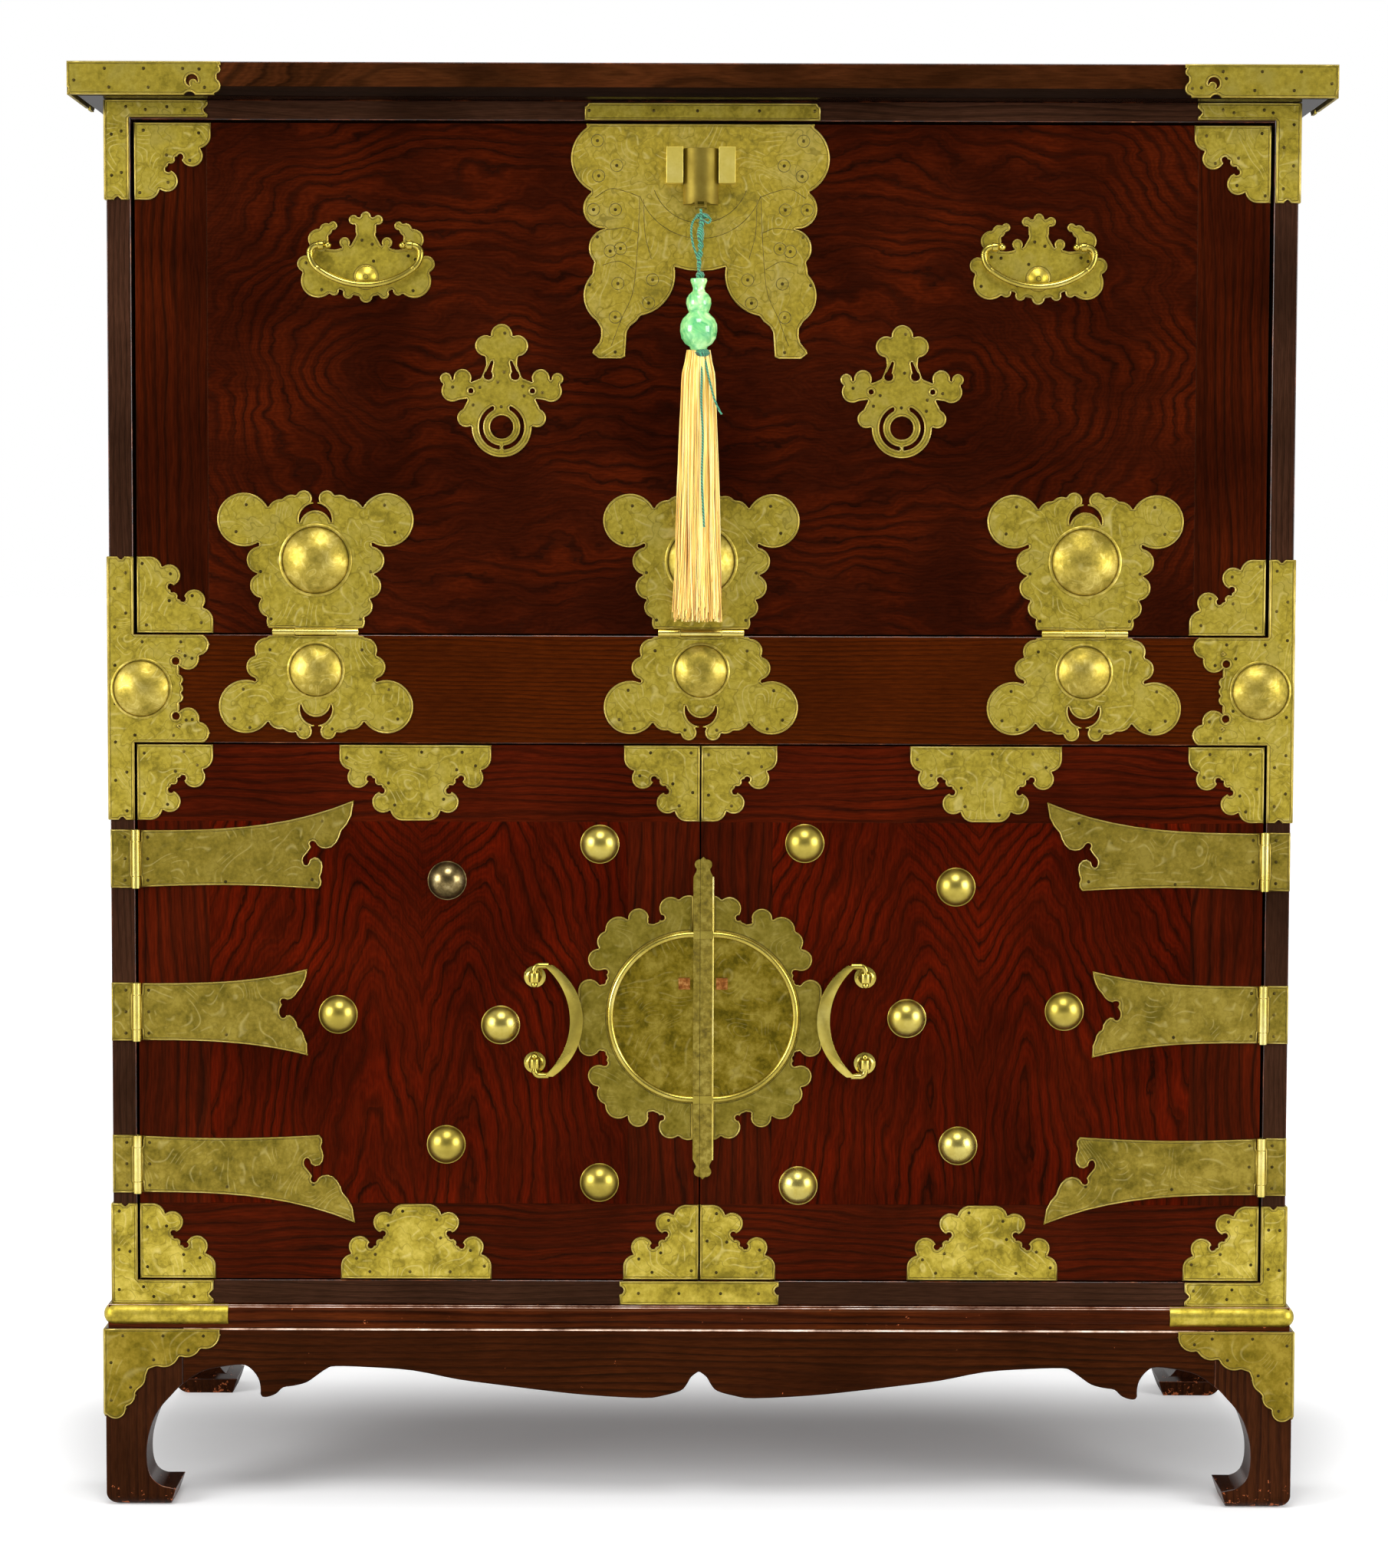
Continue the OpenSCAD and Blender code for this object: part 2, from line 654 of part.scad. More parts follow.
module frame_corner_plates() color(brass) both_sides() {
  on_front(plate_t) { frame_plate_top(); }
  on_front(plate_t) { frame_plate_mid(); }
  on_front(plate_t) { frame_plate_low(); }
  side_fold(z_flap_head - cloud_s, z_top - plate_gap);
  side_fold(z_door_head - cloud_s, z_flap_foot + cloud_s);
  side_fold(z_case + plate_gap, z_door_foot + cloud_s);
}

module rail_plates() color(brass) {
  on_front(plate_t) difference() {
    translate([-head_strip_l / 2, z_head + plate_gap]) square([head_strip_l, top_rail_h - 2]);
    translate([head_strip_l / 2, z_head + top_rail_h - 2]) circle(2.5);
    translate([-head_strip_l / 2, z_head + top_rail_h - 2]) circle(2.5);
  }
  on_front(plate_t) difference() {
    translate([-sill_plate_l / 2, z_case + plate_gap]) square([sill_plate_l, low_rail_h - 2 * plate_gap]);
    for (s = [-1, 1]) translate([s * sill_plate_l / 2, z_case + low_rail_h * 0.6]) circle(3.2);
  }
}

// Half-round caps over the corners of the moulding
module stand_caps() color(brass) both_sides() {
  x0 = -stand_x;
  cap_r = nose_r + 1;
  difference() {
    intersection() {
      nose_path(cap_r);
      union() {
        box(x0 - 5, x0 + stand_cap_l, stand_y0 - 5, stand_y0 + 4, nose_z - cap_r, nose_z + cap_r);
        box(x0 - 5, x0 + 4, stand_y0 - 5, stand_y0 + stand_cap_l, nose_z - cap_r, nose_z + cap_r);
      }
    }
    nose_path(nose_r);
    box(x0 + 2, -x0, stand_y0 + 2, stand_y1, leg_h, z_case);
  }
}

// Scalloped plate over the knee of a leg
module leg_plate_outline() {
  s = leg_plate_w / 91;
  lobes = [[79, -4.5, 11.5], [64, -10.5, 12.3], [46, -18, 12.8], [21, -38.5, 10.8], [14.5, -53, 9],
           [7.6, -63.6, 8.4]];
  intersection() {
    scale([s, s]) union() {
      polygon([[-2, 0], [90.5, 0], [90, -5], [76, -13], [62, -20.5], [46, -28], [34, -32], [29.5, -44],
               [20, -55], [11, -67], [2, -69], [-2, -68]]);
      for (l = lobes) translate([l[0], l[1]]) circle(l[2]);
    }
    translate([-plate_t, -100]) square([200, 100]);
  }
}

module leg_plates() color(brass) both_sides() translate([-stand_x, 0, 0]) {
  z1 = leg_h - plate_gap;
  translate([0, stand_y0, z1]) rotate([90, 0, 0]) linear_extrude(plate_t) leg_plate_outline();
  translate([-plate_t, stand_y0, z1]) rotate([90, 0, 90]) linear_extrude(plate_t) leg_plate_outline();
}

// Hinges of the flap

module on_flap_axis(x) translate([x, flap_axis_y, flap_axis_z]) rotate([0, 90, 0]) children();

module knuckle_x(x0, x1, r, bore) on_flap_axis(x0) difference() {
  cylinder(r = r, h = x1 - x0);
  translate([0, 0, -1]) cylinder(r = bore, h = x1 - x0 + 2);
}

// Butterfly outline of the upper leaf, from the hinge axis up
module upper_leaf() difference() {
  union() {
    difference() {
      union() {
        for (s = [0, 1]) mirror([s, 0]) {
          translate([55.8, 87.5]) circle(21);
          translate([43, 56]) circle(10.8);
          translate([41.5, 36]) circle(9.8);
          translate([36, 20]) circle(8.6);
          translate([30.5, 8]) circle(8);
          translate([27, 93]) circle(10.5);
          translate([18.5, 98]) circle(9);
          translate([9, 104]) circle(6.4);
        }
        polygon([[-33.5, 0], [33.5, 0], [38, 20], [44, 36], [44, 92], [12, 101], [-12, 101], [-44, 92],
                 [-44, 36], [-38, 20]]);
      }
      translate([0, 87.5]) circle(12.8);
      translate([-1.7, 90]) square([3.4, 30]);
    }
    translate([0, 82.5]) circle(12.4);
  }
  translate([-80, -40]) square([160, 40]);
}

// Butterfly outline of the lower leaf, from the hinge axis down
module lower_leaf() difference() {
  union() {
    difference() {
      union() {
        for (s = [0, 1]) mirror([s, 0]) {
          translate([55.2, -58.5]) circle(21);
          translate([38.5, -14]) circle(9.5);
          translate([45.5, -27.5]) circle(9);
          translate([31.5, -8]) circle(7.5);
          translate([28, -66.5]) circle(10);
          translate([19, -70.5]) circle(8.5);
          translate([9.5, -78]) circle(6.2);
        }
        polygon([[-33.5, 0], [33.5, 0], [48, -28], [44, -62], [12, -74], [-12, -74], [-44, -62],
                 [-48, -28]]);
      }
      translate([0, -60.5]) circle(12.6);
      translate([-1.7, -92]) square([3.4, 30]);
    }
    translate([0, -55]) circle(11.7);
  }
  translate([-80, 0]) square([160, 40]);
}

// What is cut from a leaf round the knuckles of the other one
clear_r = flap_barrel_r + knuckle_gap;
module flap_hinge_leaves() color(brass) for (x = flap_hinges) {
  k = flap_knuckle_l / 2;
  difference() {
    union() {
      on_front(plate_t) translate([x, flap_axis_z]) difference() {
        upper_leaf();
        for (s = [-1, 1]) translate([s > 0 ? k : -k - 60, -1]) square([60, 1 + clear_r]);
        translate([-k, -1]) square([2 * k, 1]);
      }
      translate([x, 0, 0]) knuckle_x(-k, k, flap_barrel_r, flap_pin_r + run_gap);
    }
    on_flap_axis(x - k - 1) cylinder(r = flap_pin_r + run_gap, h = 2 * k + 2);
  }
}

module rail_hinge_leaves() color(brass) for (x = flap_hinges) {
  k = flap_knuckle_l / 2 + knuckle_gap;
  e = flap_barrel_l / 2;
  difference() {
    union() {
      on_front(plate_t) translate([x, flap_axis_z]) difference() {
        lower_leaf();
        translate([-k, -clear_r]) square([2 * k, clear_r + 1]);
        for (s = [-1, 1]) translate([s > 0 ? e : -e - 60, -clear_r]) square([60, clear_r + 1]);
      }
      translate([x, 0, 0]) knuckle_x(k, e, flap_barrel_r, flap_pin_r + run_gap);
      translate([x, 0, 0]) knuckle_x(-e, -k, flap_barrel_r, flap_pin_r + run_gap);
    }
    on_flap_axis(x - e - 1) cylinder(r = flap_pin_r + run_gap, h = 2 * e + 2);
  }
}

module post_hinge_leaves() color(brass) both_sides() for (z = door_hinge_z) {
  k = door_knuckle_l / 2 + knuckle_gap;
  e = door_barrel_l / 2;
  cut = door_barrel_r + knuckle_gap;
  difference() {
    union() {
      on_front(strap_t) translate([door_axis_x, z]) difference() {
        translate([0, -e]) square([half_w - door_axis_x, 2 * e]);
        translate([-1, -k]) square([1 + cut, 2 * k]);
      }
      for (s = [[k, e], [-e, -k]]) translate([door_axis_x, door_axis_y, z + s[0]])
        cylinder(r = door_barrel_r, h = s[1] - s[0]);
    }
    translate([door_axis_x, door_axis_y, z - e - 1]) cylinder(r = door_pin_r + run_gap, h = 2 * e + 2);
  }
}

module hinge_pins() color(old_brass) {
  for (x = flap_hinges) on_flap_axis(x - flap_barrel_l / 2) cylinder(r = flap_pin_r, h = flap_barrel_l);
  both_sides() for (z = door_hinge_z) translate([door_axis_x, door_axis_y, z - door_barrel_l / 2])
    cylinder(r = door_pin_r, h = door_barrel_l);
}

module rail_bosses() color(brass) {
  for (x = flap_hinges) dome(x, flap_axis_z - rail_boss_down, rail_boss_r, rail_boss_h, plate_t);
  for (s = [-1, 1]) dome(s * (open_x - 6), (z_mid + z_flap) / 2, side_boss_r, side_boss_h, plate_t);
}

// Flap

module bolt_slot(z0, z1)
  box(slide_dx - bolt_w / 2 - slide_gap, slide_dx + bolt_w / 2 + slide_gap, y_front + bolt_in - slide_gap,
      y_front + bolt_in + bolt_t + slide_gap, z0, z1);

bolt_in = 12;
shank_w = 8;
shank_h = 10;
shank_z = z_flap_head - slide_down + slide_h / 2;
function bolt_top_z() = z_flap_head - 1;

// The bolt runs in a channel that is open to the back of the flap
module flap_panel() color(lacquer) difference() {
  box(-flap_w / 2 + stile_w, flap_w / 2 - stile_w, y_front, y_front + flap_t, z_flap_foot, z_flap_head);
  bolt_slot(shank_z - shank_h / 2 - slide_gap, z_flap_head + 1);
  box(slide_dx - bolt_w / 2 - slide_gap, slide_dx + bolt_w / 2 + slide_gap,
      y_front + bolt_in + bolt_t, y_front + flap_t + 1,
      shank_z - shank_h / 2 - slide_gap, z_flap_head + 1);
  slide_slot();
}

module slide_slot()
  box(slide_dx - shank_w / 2 - slide_gap, slide_dx + shank_w / 2 + slide_gap,
      y_front - 5, y_front + bolt_in + 1,
      shank_z - shank_h / 2 - slide_gap, shank_z + shank_h / 2 + slide_travel + slide_gap);

module flap_battens() color(lacquer) both_sides()
  box(flap_w / 2 - stile_w, flap_w / 2, y_front, y_front + flap_t, z_flap_foot, z_flap_head);

module flap_corner_plates() color(brass) both_sides() on_front(plate_t) {
  cloud_at(flap_w / 2, z_flap_foot, -1, 1);
  cloud_at(flap_w / 2, z_flap_head, -1, -1);
}

module flap_bosses() color(brass) for (x = flap_hinges)
  dome(x, flap_axis_z + flap_boss_up, flap_boss_r, flap_boss_h, plate_t);

// Lobed plate behind the lock, hanging from the top of the flap: lobes, two feet and the middle
lock_lobes = [[72.4, -26.5, 29], [76.3, -65.7, 15.5], [72.4, -96.3, 15], [67.5, -133.5, 24],
              [52, -117, 32.5]];
lock_foot = [[40, -140], [50, -153.5], [55, -157.4], [57.5, -162], [58.8, -181], [62, -182.6],
             [79.4, -182.6], [84.5, -178.5], [83.9, -176], [79, -170], [77.6, -165], [77.8, -159],
             [83.2, -150], [86, -140]];
lock_middle = [[-89.3, 0], [89.3, 0], [76, -66], [72, -98], [60, -118], [20, -111], [10, -113.6],
               [0, -114.4], [-10, -113.6], [-20, -111], [-60, -118], [-72, -98], [-76, -66]];

module lock_plate() color(brass) difference() {
  s = lock_plate_w / 202.8;
  union() {
    for (side = [0, 1]) {
      for (l = lock_lobes) on_front(plate_t) translate([lock_plate_dx, z_flap_head]) mirror([side, 0])
        translate([s * l[0], s * l[1]]) circle(s * l[2]);
      on_front(plate_t) translate([lock_plate_dx, z_flap_head]) mirror([side, 0]) polygon(s * lock_foot);
    }
    on_front(plate_t) translate([lock_plate_dx, z_flap_head]) polygon(s * lock_middle);
  }
  translate([-lock_plate_w, y_front - 9, z_flap_head]) cube([2 * lock_plate_w, 18, 20]);
  slide_slot();
}

module lock_keepers() color(brass) translate([slide_dx, 0, 0]) both_sides() {
  x0 = slide_w / 2 + slide_gap;
  z1 = z_flap_head - slide_down + slide_h + 1;
  on_front(slide_out - plate_t - 2, plate_t) translate([x0, z1 - keeper_h]) square([keeper_w, keeper_h]);
}

// The slide has a rounded front, a shank through the flap and a bolt behind it
module lock_slide() translate([slide_dx, 0, 0]) {
  z0 = z_flap_head - slide_down;
  out0 = plate_t + slide_gap;
  nose = 16;
  color(old_brass) difference() {
    union() {
      translate([0, y_front, z0]) linear_extrude(slide_h) intersection() {
        translate([-slide_w / 2, -slide_out]) square([slide_w, slide_out - out0]);
        translate([0, nose - slide_out]) circle(nose, $fn = 96);
      }
      box(-shank_w / 2, shank_w / 2, y_front - out0 - 1, y_front + bolt_in + 1,
          shank_z - shank_h / 2, shank_z + shank_h / 2);
      box(-bolt_w / 2, bolt_w / 2, y_front + bolt_in, y_front + bolt_in + bolt_t,
          shank_z - shank_h / 2, bolt_top_z());
    }
    // Bevel that lets the cord pass when the flap hangs down
    along_x(2 * slide_w) polygon([[eye_y - 1, z0 - 1], [eye_y + 3, z0 - 1], [eye_y - 1, z0 + 3]]);
  }
  // Eye for the cord
  color(old_brass) {
    both_sides() {
      translate([eye_x - 1, eye_y, eye_z]) rotate([0, 90, 0]) cylinder(r = 1.8, h = 2);
      box(eye_x - 1, eye_x + 1, eye_y - 0.5, eye_y + 3.6, eye_z, z0 + 2);
    }
    translate([-eye_x, eye_y, eye_z]) rotate([0, 90, 0]) cylinder(r = eye_r, h = 2 * eye_x);
  }
}

// Vase-necked plate behind a bail handle, drawn from the pivots
module bail_plate_outline() {
  s = bail_plate_w / 107;
  scale([s, s]) union() {
    polygon([[-7, 22], [-7.5, 8], [-12, 0], [-24, -3], [-34, -2], [-40, -2], [-47, -14], [-48, -24],
             [-38, -34], [-22, -33], [-10, -38], [0, -40], [10, -38], [22, -33], [38, -34], [48, -24],
             [47, -14], [40, -2], [34, -2], [24, -3], [12, 0], [7.5, 8], [7, 22]]);
    for (side = [0, 1]) mirror([side, 0]) {
      translate([9.5, 20]) circle(3.8);
      translate([16.5, 2.5]) circle(4.2);
      translate([37, 5]) circle(8);
      translate([31, 12.5]) circle(5);
      translate([25.5, 15.5]) circle(3.4);
      translate([47, -14]) circle(6.5);
      translate([37.5, -27]) circle(13.2);
      translate([25, -34.5]) circle(4);
      translate([14, -37]) circle(4);
    }
    translate([0, 22.5]) circle(4);
    translate([0, -39]) circle(5);
    translate([-8, 10]) square([16, 12]);
  }
}

module bail_plates() color(brass) for (s = [-1, 1]) {
  on_front(plate_t) translate([s * bail_x, z_bail]) bail_plate_outline();
  dome(s * bail_x, z_bail - 24, 8, 3, plate_t);
}

// Two eyes carry the bail's pivots
module bail_posts() color(brass) for (s = [-1, 1]) for (e = [-1, 1])
  translate([s * bail_x + e * bail_eye_w / 2, y_front - plate_t, z_bail]) difference() {
    union() {
      rotate([90, 0, 0]) cylinder(r = 4.6, h = 1.5);
      rotate([90, 0, 0]) cylinder(r = 2.3, h = bail_out - plate_t);
      translate([-2, -(bail_out - plate_t), 0]) rotate([0, 90, 0]) cylinder(r = 3.6, h = 4);
    }
    translate([-5, -(bail_out - plate_t), 0]) rotate([0, 90, 0]) cylinder(r = pivot_r + run_gap, h = 10);
  }

// A bail: two pivots, two small corner bends, two side bends and a long flat bow, with a bead at each joint
module bail() {
  w = bail_w / 2 - bail_r;
  bend = min(6, w - bail_eye_w / 2 - 2.5);
  side_r = 15;
  bead = bail_r + 0.2;
  drop = bail_drop - bend - bail_r;
  span = w - side_r;
  // Radius of the long bow that touches both side bends
  bow_r = (span * span + drop * drop - side_r * side_r) / (2 * (drop - side_r));
  tilt = atan2(span, bow_r - drop);
  both_sides() {
    translate([bail_eye_w / 2 - 5, 0, 0]) rotate([0, 90, 0])
      cylinder(r = pivot_r, h = w - bend - bail_eye_w / 2 + 5.5);
    translate([bail_eye_w / 2 - 5.5, 0, 0]) sphere(2.7);
    translate([w - bend, 0, -bend]) rotate([90, 0, 0]) rotate_extrude(angle = 90)
      translate([bend, 0]) circle(bail_r);
    translate([w, 0, -bend]) sphere(bead);
    translate([w - side_r, 0, -bend]) rotate([90, 0, 0]) rotate([0, 0, tilt - 90])
      rotate_extrude(angle = 90 - tilt) translate([side_r, 0]) circle(bail_r);
    translate([w - side_r + side_r * sin(tilt), 0, -bend - side_r * cos(tilt)]) sphere(bead);
  }
  translate([0, 0, -bend - drop + bow_r]) rotate([90, 0, 0]) rotate([0, 0, -90 - tilt])
    rotate_extrude(angle = 2 * tilt) translate([bow_r, 0]) circle(bail_r);
}

module left_bail() color(brass) translate([-bail_x, y_front - bail_out, z_bail]) bail();
module right_bail() color(brass) translate([bail_x, y_front - bail_out, z_bail]) bail();

// Pierced ornament: a trefoil over two curled arms, two leaves and a ring
module ornament_outline() {
  s = ornament_w / 94;
  scale([s, s]) difference() {
    union() {
      for (side = [0, 1]) mirror([side, 0]) {
        translate([12.5, 35]) circle(8.2);
        translate([38.5, 0]) circle(8.5);
        translate([30.5, 10]) circle(7);
        translate([43.5, 9.5]) circle(4.6);
        translate([27.5, -21]) circle(7.2);
        polygon([[-1, -8], [-1, 30], [13, 30], [12, 20], [16, 10], [28, 5], [40, 6], [40, -8], [26, -6],
                 [33, -20], [22, -26], [10, -10]]);
      }
      translate([0, 43.5]) circle(8.4);
      translate([-8, 20]) square([16, 22]);
      translate([0, -28]) circle(23.5);
    }
    translate([0, -28]) circle(9);
    for (side = [0, 1]) mirror([side, 0]) {
      translate([10.5, 12]) circle(3.4);
      polygon([[8.2, 14.5], [12, 15], [7.6, 24], [6.4, 23]]);
      difference() {
        translate([0, -28]) circle(17.6);
        translate([0, -28]) circle(14.6);
        translate([-40, -40]) square([46, 60]);
        translate([-1, -60]) square([40, 19]);
      }
      translate([24, 0]) circle(1.9);
    }
  }
}

module flap_ornaments() color(brass) for (s = [-1, 1])
  on_front(plate_t) translate([s * ornament_x, z_ornament]) ornament_outline();

// Cord, bead and tassel

function unit(v) = v / norm(v);
function ring_at(p, dir, r, n) = let (a = unit(cross(dir, [0, 1, 0.2])), b = cross(unit(dir), a))
  [for (i = [0 : n - 1]) p + r * (cos(360 * i / n) * a - sin(360 * i / n) * b)];

// A tube through a list of points
module tube(pts, r, n) {
  last = len(pts) - 1;
  rings = [for (i = [0 : last]) ring_at(pts[i], pts[min(i + 1, last)] - pts[max(i - 1, 0)], r, n)];
  sides = [for (i = [0 : last - 1]) for (j = [0 : n - 1]) for (f = [0, 1]) let (k = (j + 1) % n)
    f == 0 ? [i * n + j, i * n + k, (i + 1) * n + k] : [i * n + j, (i + 1) * n + k, (i + 1) * n + j]];
  polyhedron([for (ring = rings) each ring],
    concat(sides, [[for (j = [n - 1 : -1 : 0]) j], [for (j = [0 : n - 1]) last * n + j]]));
}

module cord() color("#2E9A7A") translate([slide_dx, 0, 0]) {
  tube([for (p = cord_route) [p[0], eye_y + p[1], eye_z + p[2]]], cord_r, 8);
  translate([-2.3, eye_y, eye_z]) rotate([0, 90, 0]) difference() {
    cylinder(r = 2, h = 4.6);
    translate([0, 0, -1]) cylinder(r = eye_r + run_gap, h = 7);
  }
}

module gourd_bead() color("#7CCB7C") translate([bead_dx, gourd_y, 0]) {
  rotate_extrude() intersection() {
    union() {
      translate([0, gourd_z1]) circle(gourd_top_r, $fn = 96);
      translate([0, gourd_z2]) circle(gourd_r, $fn = 96);
      polygon([[0, gourd_z1], [5, gourd_z1], [4, gourd_top_z - 6], [6.5, gourd_top_z], [0, gourd_top_z]]);
    }
    translate([0, tassel_z]) square([40, gourd_top_z - tassel_z]);
  }
  translate([0, 0, tassel_z]) cylinder(r = 6, h = gourd_z2 - tassel_z);
}

// The tassel swells towards its tip and leans forward over the boss behind it
tassel_rings = 12;
tassel_sides = 28;
function tassel_half(u) = (tassel_w_top + (tassel_w_tip - tassel_w_top) * pow(u, 1.4)) / 2;
function flute(a) = 1 + 0.05 * cos(7 * a);
tassel_lean = 4.5;
module tassel() color("#E3BC66") translate([bead_dx, 0, 0]) {
  rows = [for (i = [0 : tassel_rings]) let (u = i / tassel_rings)
    [for (j = [0 : tassel_sides - 1]) let (a = 360 * j / tassel_sides)
      [tassel_half(u) * flute(a) * cos(a),
       gourd_y - tassel_lean * min(1, u / 0.6) + tassel_t / 2 * flute(a) * sin(a) * (0.85 + 0.15 * u),
       tassel_z - tassel_l * u]]];
  n = tassel_sides;
  walls = [for (i = [0 : tassel_rings - 1]) for (j = [0 : n - 1]) for (f = [0, 1]) let (k = (j + 1) % n)
    f == 0 ? [i * n + j, i * n + k, (i + 1) * n + k] : [i * n + j, (i + 1) * n + k, (i + 1) * n + j]];
  polyhedron([for (row = rows) each row],
    concat(walls, [[for (j = [n - 1 : -1 : 0]) j], [for (j = [0 : n - 1]) tassel_rings * n + j]]));
}

// Doors, drawn for the left side and mirrored where they are the same

module door_panel_solid() color(lacquer)
  box(-hinge_gap / 2 - door_w + stile_w, -hinge_gap / 2 - stile_w, y_front, y_front + door_t,
      z_door_foot + band_h, z_door_head - band_h);

// Two stiles between a top and a bottom band
module door_frame_solid() color(lacquer) {
  x0 = -hinge_gap / 2 - door_w;
  x1 = -hinge_gap / 2;
  for (z = [z_door_foot, z_door_head - band_h]) box(x0, x1, y_front, y_front + door_t, z, z + band_h);
  for (x = [x0, x1 - stile_w])
    box(x, x + stile_w, y_front, y_front + door_t, z_door_foot + band_h, z_door_head - band_h);
}

// Cloud plates at the corners, in pairs at the middle of each edge and beside the seam
module door_plates_solid() color(brass) on_front(plate_t) {
  x0 = -hinge_gap / 2 - door_w;
  x1 = -hinge_gap / 2;
  mid = (x0 + x1) / 2 - 2.5;
  for (z = [[z_door_foot, 1], [z_door_head, -1]]) {
    cloud_at(x0, z[0], 1, z[1]);
    cloud_at(x1, z[0], -1, z[1]);
    cloud_at(mid, z[0], 1, z[1]);
    cloud_at(mid, z[0], -1, z[1]);
  }
}

// Ends of the straps, from the upper tip to the lower corner, for lengths of 171 and 134
long_fork = [[171.4, 46.4], [169.5, 34.3], [166, 27.5], [161.5, 22.3], [160, 17.5], [157.5, 12.9],
  [153.8, 9.4], [149.4, 8.3], [145.6, 8.8], [142.7, 10.8], [140.6, 14], [138, 14.6], [136.3, 12.4],
  [137.6, 9.4], [135, 5.4], [131.6, 1.5], [131, -1.5], [132.2, -4.6], [134.4, -5], [136, -3],
  [136.6, -0.4], [140, 1.6], [143.6, 0.7], [146, -2.2], [146.7, -6], [146, -10.4], [144.6, -14],
  [145.8, -17.4], [145.4, -20.6], [143.2, -23.3]];
mid_fork = [[134.4, 34.1], [133.8, 29], [132.5, 24.7], [130.2, 20], [127.2, 16.6], [124.8, 13],
  [121.8, 10.6], [118.6, 9.6], [116.4, 10.6], [114, 10.4], [113, 8.2], [114.4, 5.8], [112.4, 2],
  [112.2, -1.4], [113.7, -4.4], [116.2, -4.8], [117.8, -2.6], [120.4, -2.4], [123.4, -4.4],
  [125.8, -8.2], [126.4, -12], [129, -13.6], [131.2, -16.9], [132, -20.4], [134, -25], [134.4, -34.3]];

// Strap of a door hinge from its axis to the fork
module strap_outline(l, whole, fork, low_end) {
  h = door_barrel_l / 2 - 0.5;
  s = l / whole;
  up = fork[0][1] - h;
  last = fork[len(fork) - 1];
  down = -last[1] - h;
  upper = [for (u = [0 : 0.1 : 0.91]) [l * u, h + up * pow(u, 3)]];
  lower = [for (u = [0.9 : -0.1 : -0.01]) [last[0] * s * u, -h - down * pow(u, 3) + low_end * sin(180 * u)]];
  difference() {
    polygon(concat(upper, [for (p = fork) [p[0] * s, p[1]]], lower));
    translate([-50, -100]) square([50, 200]);
  }
}

module door_straps_solid() color(brass) for (i = [0 : 2]) {
  k = door_knuckle_l / 2;
  cut = door_barrel_r + knuckle_gap;
  z = door_hinge_z[i];
  difference() {
    union() {
      on_front(strap_t) translate([-door_axis_x, z]) difference() {
        if (i == 0) strap_outline(strap_l, 171.4, long_fork, 2);
        if (i == 1) strap_outline(mid_strap_l, 134.4, mid_fork, 0);
        if (i == 2) mirror([0, 1]) strap_outline(strap_l, 171.4, long_fork, 2);
        for (s = [-1, 1]) translate([-1, s > 0 ? k : -k - 30]) square([1 + cut, 30]);
      }
      translate([-door_axis_x, door_axis_y, z - k]) cylinder(r = door_barrel_r, h = 2 * k);
    }
    translate([-door_axis_x, door_axis_y, z - k - 1]) cylinder(r = door_pin_r + run_gap, h = 2 * k + 2);
  }
}

// Scalloped plate of the door lock, drawn round its centre
module lock_scallops() {
  s = lock_r / 96;
  lobes = [[9, 87, 10], [23, 86.5, 9.2], [48.5, 78.4, 8.2], [64, 69.5, 10.6], [72.3, 60, 8.8],
           [79.6, 46, 8.6], [87, 21.5, 9]];
  hooks = [[30.2, 79.2, 2.2], [38.6, 78, 2.2], [35, 78.5, 3.4], [74.8, 36, 2.2], [76.4, 28.6, 2.2],
           [77.5, 32.6, 3.4]];
  scale([s, s]) difference() {
    union() for (sx = [0, 1]) for (sz = [0, 1]) mirror([sx, 0]) mirror([0, sz]) {
      for (l = lobes) translate([l[0], l[1]]) circle(l[2]);
      polygon([[-1, -1], [96, -1], [96, 21], [78, 26], [72.5, 31], [78, 44], [72, 60], [62, 68],
               [48, 76], [36, 74], [24, 86], [-1, 90]]);
    }
    for (sx = [0, 1]) for (sz = [0, 1]) mirror([sx, 0]) mirror([0, sz])
      for (l = hooks) translate([l[0], l[1]]) circle(l[2]);
  }
}

// Bar over the seam, with a waisted finial at each end, drawn round its centre
module bar_outline() {
  e = bar_l / 2;
  translate([-bar_w / 2, -e + 16]) square([bar_w, bar_l - 32]);
  for (s = [0, 1]) mirror([0, s]) {
    polygon([[-bar_w / 2, e - 16], [bar_w / 2, e - 16], [bar_w / 2 - 2.5, e - 11],
             [-bar_w / 2 + 2.5, e - 11]]);
    translate([-bar_w / 2 + 2.5, e - 12]) square([bar_w - 5, 3]);
    for (x = [-2.8, 2.8]) translate([x, e - 6]) circle(4);
    translate([-2.8, e - 10]) square([5.6, 8]);
    polygon([[-3, e - 3], [3, e - 3], [0, e]]);
  }
}

module half_plane(side, gap)
  translate([side < 0 ? -2 * lock_r : gap / 2, -bar_l]) square([2 * lock_r - gap / 2, 2 * bar_l]);

